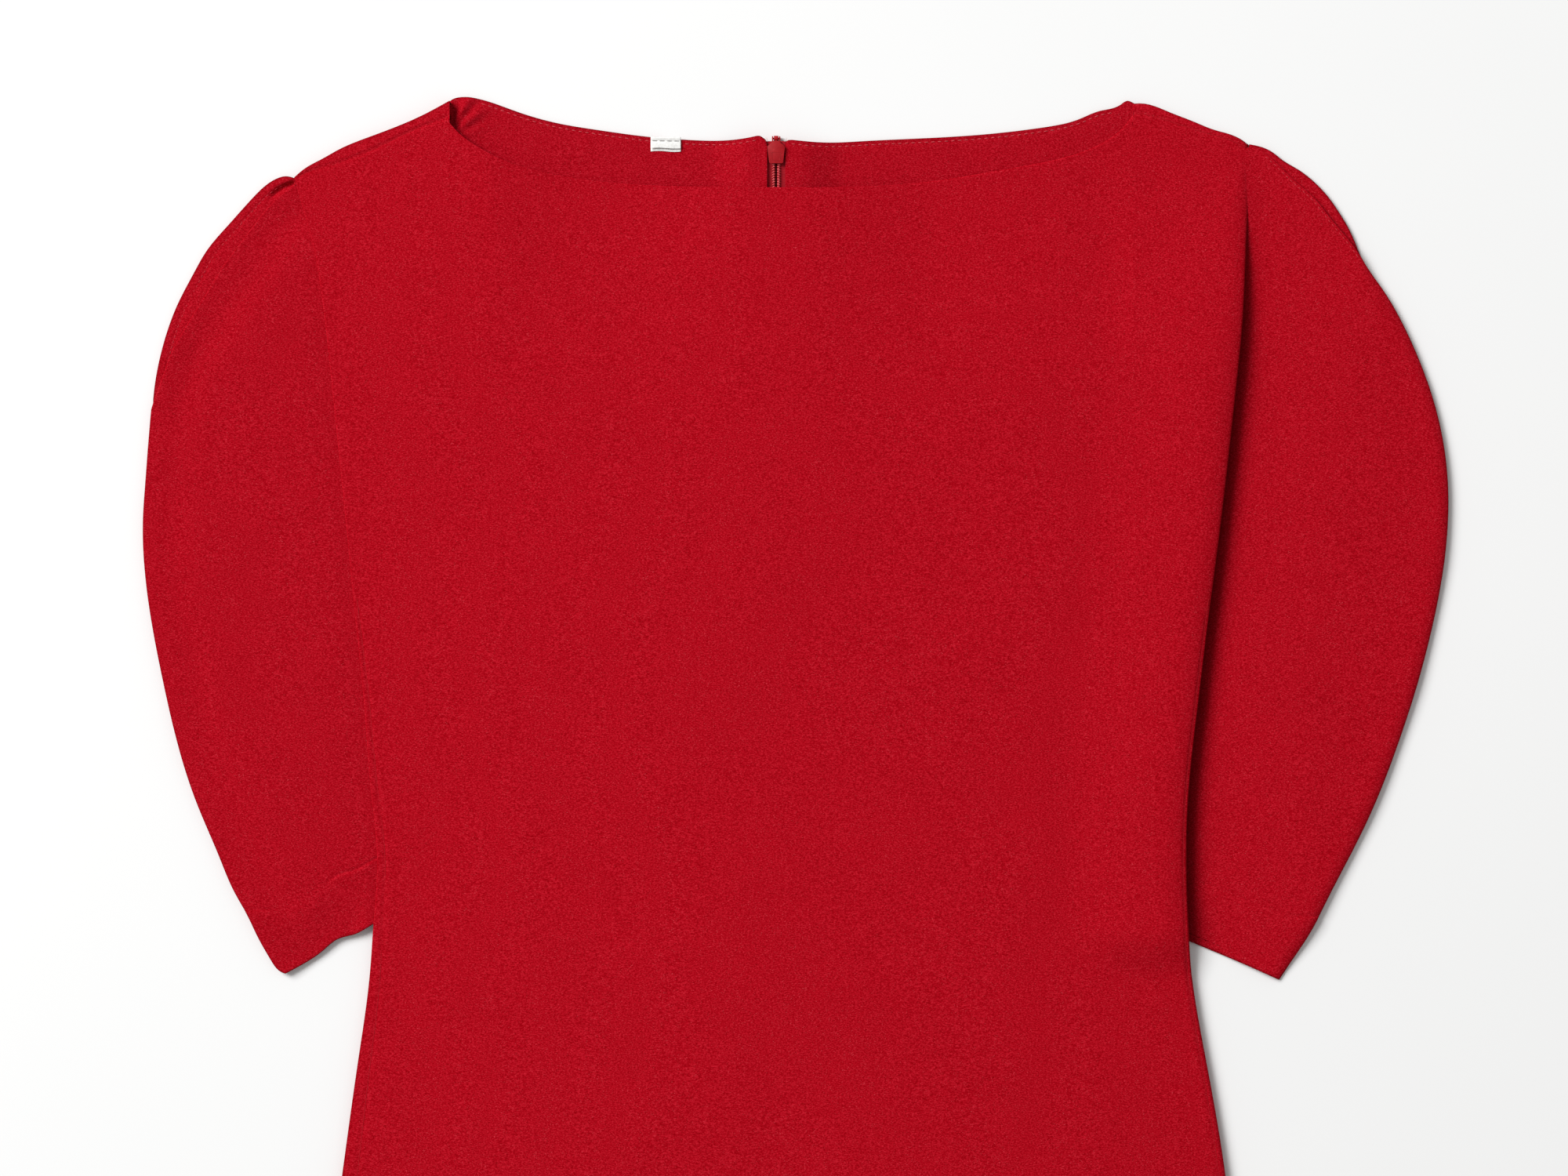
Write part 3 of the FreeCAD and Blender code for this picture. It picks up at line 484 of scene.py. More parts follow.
def sheet_object(name, grid, rims, painted_shade=None):
    """Open sheet from a grid of points, with rims added along its edges."""
    rows, columns = grid.shape[:2]
    verts = list(grid.reshape(-1, 3))
    ids = np.arange(rows * columns).reshape(rows, columns)
    faces = [(int(ids[i, j]), int(ids[i, j + 1]), int(ids[i + 1, j + 1]), int(ids[i + 1, j]))
             for i in range(rows - 1) for j in range(columns - 1)]
    edges = {"left": ids[:, 0], "right": ids[:, -1], "top": ids[-1], "bottom": ids[0]}
    for where, first, last, layers in rims:
        line = edges[where][first:last]
        previous = [int(i) for i in line]
        for layer in layers:
            start = len(verts)
            verts += list(layer)
            current = list(range(start, start + len(layer)))
            faces += [(previous[k], previous[k + 1], current[k + 1], current[k])
                      for k in range(len(previous) - 1)]
            previous = current
    obj = new_object(name, verts, faces)
    face_up(obj)
    shade = np.zeros(len(verts))
    # Painted shade: each vertex gets a weight that darkens its colour, near the named edges and fully on
    # the rims, standing in for the shade where the cloth rolls under.
    if painted_shade:
        shade[:rows * columns] = painted_shade_share(grid, painted_shade).ravel()
        shade[rows * columns:] = 1
    layer = obj.data.attributes.new("painted_shade", "FLOAT", "POINT")
    layer.data.foreach_set("value", shade.astype(np.float32))
    return obj


def apply_modifier(obj, modifier):
    bpy.context.view_layer.objects.active = obj
    with bpy.context.temp_override(object=obj, active_object=obj, selected_objects=[obj]):
        bpy.ops.object.modifier_apply(modifier=modifier.name)


def thicken(obj, thickness):
    """Gives an open sheet its thickness, downwards, and keeps it above the floor."""
    solid = obj.modifiers.new("cloth", "SOLIDIFY")
    solid.thickness = thickness * MM
    solid.offset = -1
    solid.use_even_offset = False
    apply_modifier(obj, solid)
    for vertex in obj.data.vertices:
        vertex.co.z = max(vertex.co.z, FLOOR_GAP * MM)
    obj.data.shade_smooth()


def tube_mesh(paths, radius, sides=6, taper=False):
    """Vertices and faces of round threads along 3-D paths."""
    verts, faces = [], []
    for path in paths:
        path = np.asarray(path, float)
        tangent = np.gradient(path, axis=0)
        tangent /= np.linalg.norm(tangent, axis=1)[:, None] + 1e-12
        up = np.array([0.0, 0.0, 1.0])
        across = np.cross(tangent, up)
        weak = np.linalg.norm(across, axis=1) < 1e-3
        across[weak] = np.cross(tangent[weak], [1.0, 0.0, 0.0])
        across /= np.linalg.norm(across, axis=1)[:, None] + 1e-12
        over = np.cross(across, tangent)
        shares = np.linspace(0, 1, len(path))
        sizes = np.full(len(path), float(radius))
        if taper:
            sizes *= np.sqrt(np.clip(1 - (2 * shares - 1) ** 4, 0.12, 1))
        base = len(verts)
        for k in range(len(path)):
            for s in range(sides):
                angle = 2 * math.pi * s / sides
                spoke = math.cos(angle) * across[k] + math.sin(angle) * over[k]
                verts.append(path[k] + sizes[k] * spoke)
        for k in range(len(path) - 1):
            for s in range(sides):
                a = base + k * sides + s
                b = base + k * sides + (s + 1) % sides
                faces.append((a, b, b + sides, a + sides))
        faces.append(tuple(base + s for s in reversed(range(sides))))
        last = base + (len(path) - 1) * sides
        faces.append(tuple(last + s for s in range(sides)))
    return np.array(verts), faces


def tube_object(name, paths, radius, sides=6, taper=False):
    return new_object(name, *tube_mesh(paths, radius, sides, taper))


def stitch_paths(line, height, pitch, length, arch=0.14, sink=0.12):
    """Short arched threads in a row on a surface: line in plan, height(x, y) its surface."""
    line = np.asarray(line, float)
    total = run_length(line)[-1]
    count = max(2, int(total / pitch))
    paths = []
    for i in range(count):
        middle = (i + 0.5) / count
        half = length / total / 2
        stops = along(line, np.linspace(middle - half, middle + half, 5))
        z = height(stops[:, 0], stops[:, 1])
        bow = np.array([-sink, arch * 0.7, arch, arch * 0.7, -sink])
        paths.append(np.column_stack([stops, z + bow]))
    return paths


# ---------------------------------------------------------------- materials

def new_material(name):
    material = bpy.data.materials.new(name)
    material.use_nodes = True
    tree = material.node_tree
    return material, tree, tree.nodes["Principled BSDF"]


def node(tree, kind, **settings):
    made = tree.nodes.new(kind)
    for key, setting in settings.items():
        setattr(made, key, setting)
    return made


def grain(tree, turn, stretch):
    """Coordinates in metres, turned and stretched for a weave."""
    place = node(tree, "ShaderNodeTexCoord")
    mapping = node(tree, "ShaderNodeMapping")
    mapping.inputs["Rotation"].default_value = (0, 0, math.radians(turn))
    mapping.inputs["Scale"].default_value = stretch
    tree.links.new(place.outputs["Object"], mapping.inputs["Vector"])
    return mapping.outputs["Vector"]


def noise_node(tree, vector, scale, detail, rough=0.5, distortion=0.0):
    made = node(tree, "ShaderNodeTexNoise")
    made.inputs["Scale"].default_value = scale
    made.inputs["Detail"].default_value = detail
    made.inputs["Roughness"].default_value = rough
    made.inputs["Distortion"].default_value = distortion
    tree.links.new(vector, made.inputs["Vector"])
    return made.outputs["Fac"]


def ramp(tree, factor, stops):
    made = node(tree, "ShaderNodeValToRGB")
    elements = made.color_ramp.elements
    while len(elements) < len(stops):
        elements.new(0.5)
    for element, (place, colour) in zip(elements, stops):
        element.position = place
        element.color = (*colour, 1)
    tree.links.new(factor, made.inputs["Fac"])
    return made.outputs["Color"]


def mixed(tree, kind, factor, a, b):
    made = node(tree, "ShaderNodeMix", data_type="RGBA", blend_type=kind)
    for socket, item in (("Factor", factor), ("A", a), ("B", b)):
        target = [s for s in made.inputs if s.name == socket and s.enabled][0]
        if hasattr(item, "is_linked"):
            tree.links.new(item, target)
        else:
            target.default_value = item
    return [s for s in made.outputs if s.enabled][0]


def bumped(tree, shader, heights):
    """Chains bumps: heights is a list of (output, strength, distance in mm)."""
    normal = None
    for height, strength, distance in heights:
        made = node(tree, "ShaderNodeBump")
        made.inputs["Strength"].default_value = strength
        made.inputs["Distance"].default_value = distance * MM
        tree.links.new(height, made.inputs["Height"])
        if normal:
            tree.links.new(normal, made.inputs["Normal"])
        normal = made.outputs["Normal"]
    if normal:
        tree.links.new(normal, shader.inputs["Normal"])


def finished(look, colour, bumps, **inputs):
    """Completes a material: its colour, its bumps and its shader's plain inputs."""
    material, tree, shader = look
    tree.links.new(colour, shader.inputs["Base Color"])
    for key, setting in inputs.items():
        shader.inputs[key.replace("_", " ")].default_value = setting
    bumped(tree, shader, bumps)
    return material


def crepe(name, turn, tone=1.0):
    """Matte crepe with a pebbled grain, fine pale spots painted in as highlights on the pebbles, soft
    mottling and painted shade along edges and folds.
    """
    look = new_material(name)
    tree = look[1]
    vector = grain(tree, turn, (0.8, 1.45, 1.0))
    pebble = noise_node(tree, vector, 1360, 1.5, 0.6, 0.4)
    painted_glint = noise_node(tree, vector, 1980, 1.0, 0.5)
    cloud = noise_node(tree, grain(tree, turn, (1, 1, 1)), 60, 2.0)
    base = ramp(tree, pebble, [
        (0.30, (0.290 * tone, 0.0001, 0.0030)),
        (0.50, (0.422 * tone, 0.0018, 0.0088)),
        (0.70, (0.582 * tone, 0.0110, 0.0250)),
    ])
    # Painted highlight: the pale spots stand in for glints on the tops of the pebbled grain.
    spots = ramp(tree, painted_glint, [(0.66, (0, 0, 0)), (0.76, (1, 1, 1))])
    with_painted_glints = mixed(tree, "MIX", spots, base, (0.64 * tone, 0.050, 0.070, 1))
    shade = ramp(tree, cloud, [(0.3, (0.985,) * 3), (0.7, (1.015,) * 3)])
    clouded = mixed(tree, "MULTIPLY", 1.0, with_painted_glints, shade)
    # Painted shade: the vertex weights multiply the colour by as little as (0.52, 0.30, 0.42) along rolled
    # edges and in the fold beside the right sleeve.
    edge = node(tree, "ShaderNodeAttribute", attribute_name="painted_shade")
    colour = mixed(tree, "MULTIPLY", edge.outputs["Fac"], clouded, (0.52, 0.30, 0.42, 1))
    return finished(look, colour, [(pebble, 0.6, 0.2), (painted_glint, 0.35, 0.08)],
                    Roughness=0.92, Specular_IOR_Level=0.02, Sheen_Weight=0.015,
                    Sheen_Roughness=0.6, Sheen_Tint=(0.8, 0.06, 0.10, 1))


def woven(name, colour, pale, pitch, rough=0.8):
    """Plain ribbon or thread with a fine even weave."""
    look = new_material(name)
    tree = look[1]
    vector = grain(tree, 0, (1, 1, 1))
    wave = node(tree, "ShaderNodeTexWave", bands_direction="Y")
    wave.inputs["Scale"].default_value = 0.314 / (pitch * MM)
    wave.inputs["Distortion"].default_value = 1.2
    wave.inputs["Detail"].default_value = 1.0
    tree.links.new(vector, wave.inputs["Vector"])
    mottle = noise_node(tree, vector, 900, 2.0)
    rib = ramp(tree, wave.outputs["Fac"], [(0.15, colour), (0.85, pale)])
    shade = ramp(tree, mottle, [(0.3, (0.9,) * 3), (0.7, (1.08,) * 3)])
    return finished(look, mixed(tree, "MULTIPLY", 1.0, rib, shade),
                    [(wave.outputs["Fac"], 0.4, 0.08), (mottle, 0.3, 0.05)],
                    Roughness=rough, Specular_IOR_Level=0.15)


def enamel(name):
    """Red painted metal with faint orange peel and rubbed patches scattered by noise."""
    look = new_material(name)
    tree = look[1]
    vector = grain(tree, 0, (1, 1, 1))
    peel = noise_node(tree, vector, 1400, 2.0)
    wear = noise_node(tree, vector, 420, 3.0, 0.7)
    colour = ramp(tree, wear, [(0.35, (0.32, 0.002, 0.007)), (0.62, (0.38, 0.004, 0.010)),
                               (0.80, (0.50, 0.025, 0.035))])
    rough = ramp(tree, wear, [(0.3, (0.42,) * 3), (0.8, (0.58,) * 3)])
    tree.links.new(rough, look[2].inputs["Roughness"])
    return finished(look, colour, [(peel, 0.15, 0.03)],
                    Specular_IOR_Level=0.2, Coat_Weight=0.05, Coat_Roughness=0.3)


def nylon(name):
    """Dyed nylon coil wire with pale streaks."""
    look = new_material(name)
    tree = look[1]
    vector = grain(tree, 0, (1, 1, 1))
    streak = noise_node(tree, vector, 700, 2.0)
    colour = ramp(tree, streak, [(0.3, (0.52, 0.020, 0.030)), (0.7, (0.72, 0.11, 0.12))])
    return finished(look, colour, [(streak, 0.2, 0.04)], Roughness=0.42, Specular_IOR_Level=0.45)


def floor_material(name):
    look = new_material(name)
    tree = look[1]
    mottle = noise_node(tree, grain(tree, 0, (1, 1, 1)), 3.0, 3.0)
    colour = ramp(tree, mottle, [(0.3, (0.890, 0.893, 0.890)), (0.7, (0.900, 0.900, 0.898))])
    return finished(look, colour, [], Roughness=0.75, Specular_IOR_Level=0.1)


# The body, sleeves and facing are one cloth; their different tone factors are painted shade, making the
# sleeves and the facing darker than the body.
MATERIALS = {
    "body": crepe("crepe_body", 4, 0.925),
    "left": crepe("crepe_left_sleeve", 28, 0.90),
    "right": crepe("crepe_right_sleeve", -31, 0.915),
    "facing": crepe("crepe_facing", 0, 0.875),
    "tape": woven("zip_tape_weave", (0.30, 0.003, 0.009), (0.42, 0.010, 0.022), 0.55),
    "coil": nylon("coil_nylon"),
    "zip_metal": enamel("red_enamel"),
    "label": woven("label_satin", (0.80, 0.79, 0.76), (0.90, 0.895, 0.88), 0.22, 0.55),
    "thread": woven("red_thread", (0.33, 0.002, 0.007), (0.44, 0.008, 0.018), 0.3),
    "pale_stitch": woven("pale_stitch_thread", (0.50, 0.020, 0.032), (0.62, 0.06, 0.08), 0.3),
    "light_thread": woven("pale_red_thread", (0.56, 0.045, 0.06), (0.72, 0.13, 0.15), 0.3),
    "dark_thread": woven("dark_thread", (0.035, 0.02, 0.02), (0.09, 0.06, 0.055), 0.3),
    "fray": woven("frayed_fibre", (0.72, 0.45, 0.42), (0.88, 0.70, 0.66), 0.3),
}

SLEEVE_HINGES = {}
for joint in frame["record"]["behaviour"]["joints"]:
    if joint["name"].endswith("_sleeve_fold"):
        side = joint["name"].split("_")[0]
        axis = Vector(joint["axis"])
        outward = axis.cross(Vector((0, 0, 1)))
        outward *= math.copysign(1, outward.x * joint["pos_m"][0])
        SLEEVE_HINGES[side] = (Vector(joint["pos_m"]), outward.normalized())


def place(obj, nodes, body, slot, look):
    """Gives a piece its look, hides the CAD nodes it stands for and hangs it from the body it moves with;
    sleeve pieces are baked in place instead. The slot argument is not used.
    """
    obj.data.materials.clear()
    obj.data.materials.append(MATERIALS[look])
    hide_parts(*nodes)
    side = body.split("_")[0]
    if side in SLEEVE_HINGES:
        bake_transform(obj)
    else:
        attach(obj, body)


# ---------------------------------------------------------------- body

NECK_ENDS = (LEFT_SHOULDER[-1][0], RIGHT_SHOULDER[0][0])


def make_front():
    """Front of the body in one sheet, rolled under along its sides, shoulders, neck and hem."""
    left_top, right_top = SIDES["left"][-1, 0], SIDES["right"][-1, 0]
    neck_left, neck_right = NECK_ENDS
    outline = np.concatenate([smooth(plan(LEFT_SHOULDER), 160),
                              smooth(plan(FRONT_NECK), 420) + (0.12, 0),
                              smooth(plan(RIGHT_SHOULDER), 130)])
    columns = left_top + (right_top - left_top) * spaced(480, 0.3, 13, 2.6)
    corner = np.array([-0.5, 0.0, 0.14, 0.6, 1.4])
    columns = np.unique(np.concatenate([columns, neck_left + corner, neck_right - corner + 0.14]))
    shares = spaced(930, 0.35, 15, 3.1, growth=1.08)
    xy = body_grid(columns, outline, shares, (neck_left - 1, neck_right + 1))
    grid = np.dstack([xy, front_height(xy[..., 0], xy[..., 1])])
    middle = (0, 0)
    rims = []
    for side, column in (("left", 0), ("right", -1)):
        line = grid[:, column]
        held = beside_sleeve(TOP - line[:, 1])
        low = 0.9 + (UNDER_SLEEVE - 0.9) * held
        rims.append((side, None, None, rolled_rim(line, middle, low, 2.6 + 2.0 * held)))
    line = grid[-1]
    first = int(np.argmax(columns > neck_left + 0.1))
    last = int(np.argmax(columns > neck_right + 0.05))
    neck = slice(first, last)
    rims.append(("top", None, first, rolled_rim(line[:first], middle, 0.9, 1.6)))
    rims.append(("top", last, None, rolled_rim(line[last:], middle, 0.9, 1.6)))
    neck_rim = rolled_rim(line[neck], middle, line[neck, 2] - 0.9, 0.6, 3.0, 4)
    hem_rim = rolled_rim(grid[0], middle, grid[0, :, 2] - 1.2, 0.8, 3.0, 4)
    rims += [("top", first, last, neck_rim), ("bottom", None, None, hem_rim)]
    # Painted shade: darker colour along the free left side, the shoulders and the whole right edge over the
    # sleeve fold.
    free_side = 1 - beside_sleeve(TOP - grid[:, 0, 1])
    on_shoulder = (columns < neck_left) | (columns > neck_right)
    obj = sheet_object("front_body", grid, rims,
                       {"left": free_side, "right": 0.7, "top": on_shoulder * 1.0})
    thicken(obj, CLOTH)
    place(obj, ["front_panel"], "dress", "crepe", "body")


def back_height(x, y):
    """Upper face of the back: flat on the floor, lifted along the zip."""
    lift = blend_step(26, 14, np.abs(x)) * blend_step(ZIP_LOW[1] - 70, ZIP_LOW[1] + 10, y)
    return BACK_LEVEL + BACK_LIFT * lift


def make_back(side):
    """Half of the back, from the body's side to the centre."""
    sign = SIGNS[side]
    gap, inset = 0.5, 2.0
    outline = np.concatenate([
        smooth(plan([(x, drop + 2.2) for x, drop in SHOULDERS[side]]), 120),
        smooth(plan([(x, drop + 1.6) for x, drop in BACK_NECKS[side]]), 300),
        plan([(sign * 5.8, 25.5), (sign * gap, 25.5)])])
    outline = outline[np.argsort(outline[:, 0])]
    outer = SIDES[side][-1, 0] - sign * inset
    columns = np.sort(outer + (sign * gap - outer) * spaced(240, 1.2, 6, 4.0))
    shares = spaced(930, 1.2, 6, 5.0)
    xy = body_grid(columns, outline, shares, (NECK_ENDS[0] - 1, NECK_ENDS[1] + 1))
    z = back_height(xy[..., 0], xy[..., 1])
    obj = sheet_object("back_body_" + side, np.dstack([xy, z]), [])
    thicken(obj, CLOTH)
    place(obj, ["back_panel_" + side], "dress", "crepe", "body")


def make_back_facing(side):
    """Facing inside the back neckline, folded over at the neckline's edge."""
    neck = np.array(plan(BACK_NECKS[side]))
    sign = SIGNS[side]
    end_x = 4.5 * sign
    corner = [(end_x, TOP - 24.5), (end_x * 1.08, TOP - 22.6)]
    if side == "left":
        top = [smooth(neck, 380), smooth([neck[-1], corner[1], corner[0]], 24)[1:]]
        low = [(-176, TOP - 44), (-150, TOP - 60), (-90, TOP - 66), (end_x, TOP - 72)]
    else:
        top = [smooth([corner[0], corner[1], neck[0]], 24)[:-1], smooth(neck, 380)]
        low = [(end_x, TOP - 72), (90, TOP - 66), (150, TOP - 60), (180, TOP - 44)]
    top = np.concatenate(top)
    bottom = smooth(low, 200)
    left = np.array([bottom[0], top[0]])
    right = np.array([bottom[-1], top[-1]])
    us = spaced(180, 0.5, 8, 1.5)
    vs = spaced(50, 0.3, 6, 1.2, start_fine=False)
    xy = coons(bottom, right, top, left, us, vs)
    z = facing_height(xy[..., 0], xy[..., 1])
    z = Edge(top, 1.6, 0.7).lower(xy[..., 0], xy[..., 1], z)
    z = groove(xy[..., 0], xy[..., 1], z, stitch_line(side), 0.22, 0.8)
    grid = np.dstack([xy, z])
    line = grid[-1]
    low = np.where(np.abs(line[:, 0]) < 26, line[:, 2] - 1.2, 0.5)
    rims = [("top", None, None, rolled_rim(line, (40 * sign, TOP - 60), low, 1.4))]
    # Painted shade along the facing's folded top edge.
    obj = sheet_object("neck_facing_" + side, grid, rims, {"top": 1.0})
    thicken(obj, CLOTH)
    place(obj, ["back_neck_facing_" + side], "dress", "facing", "facing")


def stitch_line(side):
    """Understitching line, a little inside the back neckline."""
    neck = smooth(plan(BACK_NECKS[side]), 260)
    line = neck + inward(neck, (0, 0)) * 2.1
    keep = (line[:, 0] > -148) & (line[:, 0] < 168)
    return line[keep][::3]


def make_front_facing():
    """Facing under the front neckline. Gives the line of its upper edge."""
    neck = smooth(plan(FRONT_NECK[1:-1]), 300)
    shifted = neck + inward(neck, (0, 0)) * 2.0
    low = smooth([(-172, TOP - 52), (-120, TOP - 80), (0, TOP - 94), (120, TOP - 80), (178, TOP - 50)], 300)
    us = spaced(340, 2.0, 8, 3.0)
    vs = np.linspace(0, 1, 16)
    left = np.array([low[0], shifted[0]])
    right = np.array([low[-1], shifted[-1]])
    xy = coons(low, right, shifted, left, us, vs)
    z = front_height(xy[..., 0], xy[..., 1]) - CLOTH - 0.12
    obj = sheet_object("front_neck_lining", np.dstack([xy, z]), [])
    thicken(obj, LINING)
    place(obj, ["front_neck_facing"], "dress", "facing", "facing")
    return shifted


# ---------------------------------------------------------------- sleeves

SLEEVES = {
    "left": {"outer": LEFT_OUTER, "slit": LEFT_SLIT, "cuff": LEFT_CUFF, "slit_low": 154.2, "sign": -1,
             "tuck": 7.0, "stitch": 4.4, "roll": 0.2, "fall": 0.3},
    "right": {"outer": RIGHT_OUTER, "slit": RIGHT_SLIT, "cuff": RIGHT_CUFF, "slit_low": 85.4, "sign": 1,
              "tuck": 12.0, "stitch": 1.5, "roll": 6.5, "fall": 2.2},
}


def sleeve_lines(side):
    """Outer outline, upper layer's outer edge, inner edge and cuff of a sleeve."""
    s = SLEEVES[side]
    outer = smooth(plan(s["outer"]), 500)
    below = outer[TOP - outer[:, 1] > s["slit_low"] + 0.4]
    upper = np.concatenate([below, smooth(plan(s["slit"]), 220)])
    drops = np.linspace(s["cuff"][-1][1], 46 if side == "left" else 28, 200)
    edge_x = side_x(side, TOP - drops)
    inner = np.stack([edge_x - s["sign"] * s["tuck"], TOP - drops], 1)
    flush = np.stack([edge_x - s["sign"] * 1.0, TOP - drops], 1)
    return outer, upper, inner, flush, smooth(plan(s["cuff"]), 120)


def sleeve_edge(side):
    """The upper layer's outer edge: sharp along the slit, rolled below it."""
    s = SLEEVES[side]
    upper = sleeve_lines(side)[1]
    closed = blend_step(s["slit_low"] - 12, s["slit_low"] + 10, drop_of(upper))
    return Edge(upper, LIT_ROLL + s["roll"] * closed, 0.4 + s["fall"] * closed)


SLEEVE_EDGES = {side: sleeve_edge(side) for side in SLEEVES}


def cuff_rise(side, x, y):
    """Distance up from the cuff's edge."""
    line = smooth(plan(SLEEVES[side]["cuff"]), 60)
    order = np.argsort(line[:, 0])
    return y - np.interp(x, line[order, 0], line[order, 1])


def sleeve_height(side, x, y):
    """Outer surface of a sleeve's upper layer."""
    s = SLEEVES[side]
    across = s["sign"] * (x - side_x(side, y))
    drop = TOP - y
    if side == "right":
        cover = blend_step(12, 98, drop)
        z = 5.6 - cover * (3.1 * blend_step(64, 2, across) + 2.2 * np.exp(-np.maximum(across, 0) / 7.0))
        z = z - 1.4 * blend_step(70, 20, drop)
    else:
        fold = distance_to(x, y, sleeve_lines(side)[0][::4])
        z = 5.0 + 0.25 * np.exp(-((across - 50) / 30) ** 2) - 0.6 * np.exp(-((fold - 15) / 8) ** 2)
        z = z - 0.8 * np.exp(-np.maximum(across, 0) / 7.0) * blend_step(60, 120, drop)
    slit = smooth(plan(s["slit"]), 60)
    inside = distance_to(x, y, slit)
    open_part = blend_step(s["slit_low"] + 25, s["slit_low"] - 40, drop)
    z = z - {"left": 1.0, "right": 0.4}[side] * open_part * np.exp(-((inside - 14) / 8) ** 2)
    z = z + 0.40 * ripple(x + 0.6 * y, y, 60, 2.2 + s["sign"]) * blend_step(3, 25, across)
    z = z + 0.10 * ripple(x, y, 20, 9.2) * blend_step(3, 16, across)
    z = SLEEVE_EDGES[side].lower(x, y, z)
    rise = cuff_rise(side, x, y)
    z = z - 2.0 * blend_step(34, 0, rise) * blend_step(0, 12, across)
    z = z - 0.4 * np.exp(-((rise - HEM_RISE) / 0.8) ** 2)
    z = z + 0.3 * blend_step(HEM_RISE + 0.8, HEM_RISE - 0.8, rise) * blend_step(0, 5, across)
    return np.maximum(z, 1.3)


def under_height(side, x, y):
    """Inner face of a sleeve's lower layer, seen only along the slit."""
    s = SLEEVES[side]
    outer = sleeve_lines(side)[0]
    drop = TOP - y
    open_part = blend_step(s["slit_low"] + 10, s["slit_low"] - 16, drop)
    raised = {"left": 2.3, "right": 1.9}[side]
    z = 0.8 + raised * open_part * blend_step(46, 26, distance_to(x, y, outer))
    rolled = Edge(outer[drop_of(outer) < s["slit_low"] + 6], 1.3, 0.5).lower(x, y, z)
    if side == "left":
        mouth = np.array(plan([(-250, 48.2), (-246, 45.4), (-240.8, 43.2)]))
        rolled = groove(x, y, rolled, mouth, 2.4, 1.2)
        band = outer[drop_of(outer) < s["slit_low"] - 10]
        rolled = groove(x, y, rolled, band + inward(band, (-220, TOP - 230)) * s["stitch"], 0.4, 0.5)
    return np.maximum(rolled, 0.65)


CREASE_WEIGHT, CREASE_RUN = 2.8, 13.2  # darkening painted into the fold beside the body


def make_sleeve(side):
    """Upper and lower layer of a sleeve. The deep fold beside the right one gets painted shade."""
    s = SLEEVES[side]
    outer, upper, inner, flush, cuff = sleeve_lines(side)
    inside = ((upper[:, 0].mean() + inner[:, 0].mean()) / 2, TOP - 230)
    body = side + "_sleeve"
    us = spaced(120, 0.3, 9, 2.3)
    length = run_length(inner)[-1]
    vs = spaced(length, 0.5, 6, 2.4)
    vs = np.unique(np.concatenate([vs, (HEM_RISE + np.arange(-3, 3, 0.5)) / length]))

    top = np.array([upper[-1], inner[-1]])
    cuff_inner = np.concatenate([cuff, inner[:1]])
    xy = coons(cuff_inner, inner, top, upper, us, vs)
    z = sleeve_height(side, xy[..., 0], xy[..., 1])
    grid = np.dstack([xy, z])
    line = grid[:, 0]
    drop = TOP - line[:, 1]
    closed = blend_step(s["slit_low"] - 6, s["slit_low"] + 6, drop)
    low = (line[:, 2] - 1.0) * (1 - closed) + 0.75 * closed
    tuck = 0.8 + 1.6 * closed
    cuff_low = np.maximum(grid[0, :, 2] - 1.2, 0.7)
    rims = [("left", None, None, rolled_rim(line, inside, low, tuck)),
            ("bottom", None, None, rolled_rim(grid[0], inside, cuff_low, 0.8, 3.0, 4))]
    # Painted shade: darker colour along the rolled outer edge and the cuff, and for the right sleeve far
    # into the fold beside the body.
    painted_shade = {"left": closed, "bottom": 0.8}
    if side == "right":
        painted_shade["right"] = (CREASE_WEIGHT * blend_step(24, 120, drop_of(grid[:, -1])), CREASE_RUN)
    obj = sheet_object("upper_sleeve_" + side, grid, rims, painted_shade)
    thicken(obj, CLOTH)
    place(obj, ["sleeve_front_" + side], body, "crepe", side)

    base = flush.copy()
    base[:, 0] += s["sign"] * 2.0
    edge_line = outer.copy()
    shrink = inward(edge_line, inside) * 1.6
    hidden = blend_step(s["slit_low"] - 4, s["slit_low"] + 8, TOP - edge_line[:, 1])
    edge_line = edge_line + shrink * hidden[:, None]
    low_cuff = cuff + inward(cuff, inside) * 1.2
    low_cuff[0] = edge_line[0]
    low_cuff = np.concatenate([low_cuff, base[:1]])
    edge_line = np.concatenate([low_cuff[:1], edge_line[3:]])
    top = np.array([edge_line[-1], base[-1]])
    xy = coons(low_cuff, base, top, edge_line, us, vs)
    z = under_height(side, xy[..., 0], xy[..., 1])
    grid = np.dstack([xy, z])
    line = grid[:, 0]
    rims = [("left", None, None, rolled_rim(line, inside, 0.7, 0.5, 0.8, 3))]
    # Painted shade along the lower layer's outer edge and cuff.
    obj = sheet_object("under_sleeve_" + side, grid, rims, {"left": 1.0, "bottom": 0.8})
    thicken(obj, 0.55)
    place(obj, ["sleeve_back_" + side], body, "crepe", side)


# ---------------------------------------------------------------- seams and stitches

SEAM_THREAD = 0.16

# Pitch and length of each row's stitches, then their arch and sink where they aren't the usual ones.
STITCHES = {"neck": (3.3, 2.0), "slit": (2.7, 1.8), "label": (3.6, 3.3), "tape": (3.0, 2.0, 0.1, 0.1),
            "cuff": (6.0, 1.0, 0.02, 0.1), "hem": (6.0, 1.2, 0.05, 0.1)}


def thread_line(name, nodes, body, line, height, radius, slot="thread"):
    """Seam thread lying in its groove."""
    count = max(20, int(run_length(line)[-1] / 3))
    line = along(np.asarray(line, float), np.linspace(0, 1, count))
    z = height(line[:, 0], line[:, 1])
    obj = tube_object(name, [np.column_stack([line, z])], radius)
    place(obj, nodes, body, slot, slot)


def stitch_object(name, nodes, body, paths, radius, slot, look=None):
    obj = tube_object(name, paths, radius, 6, True)
    place(obj, nodes, body, slot, look or slot)


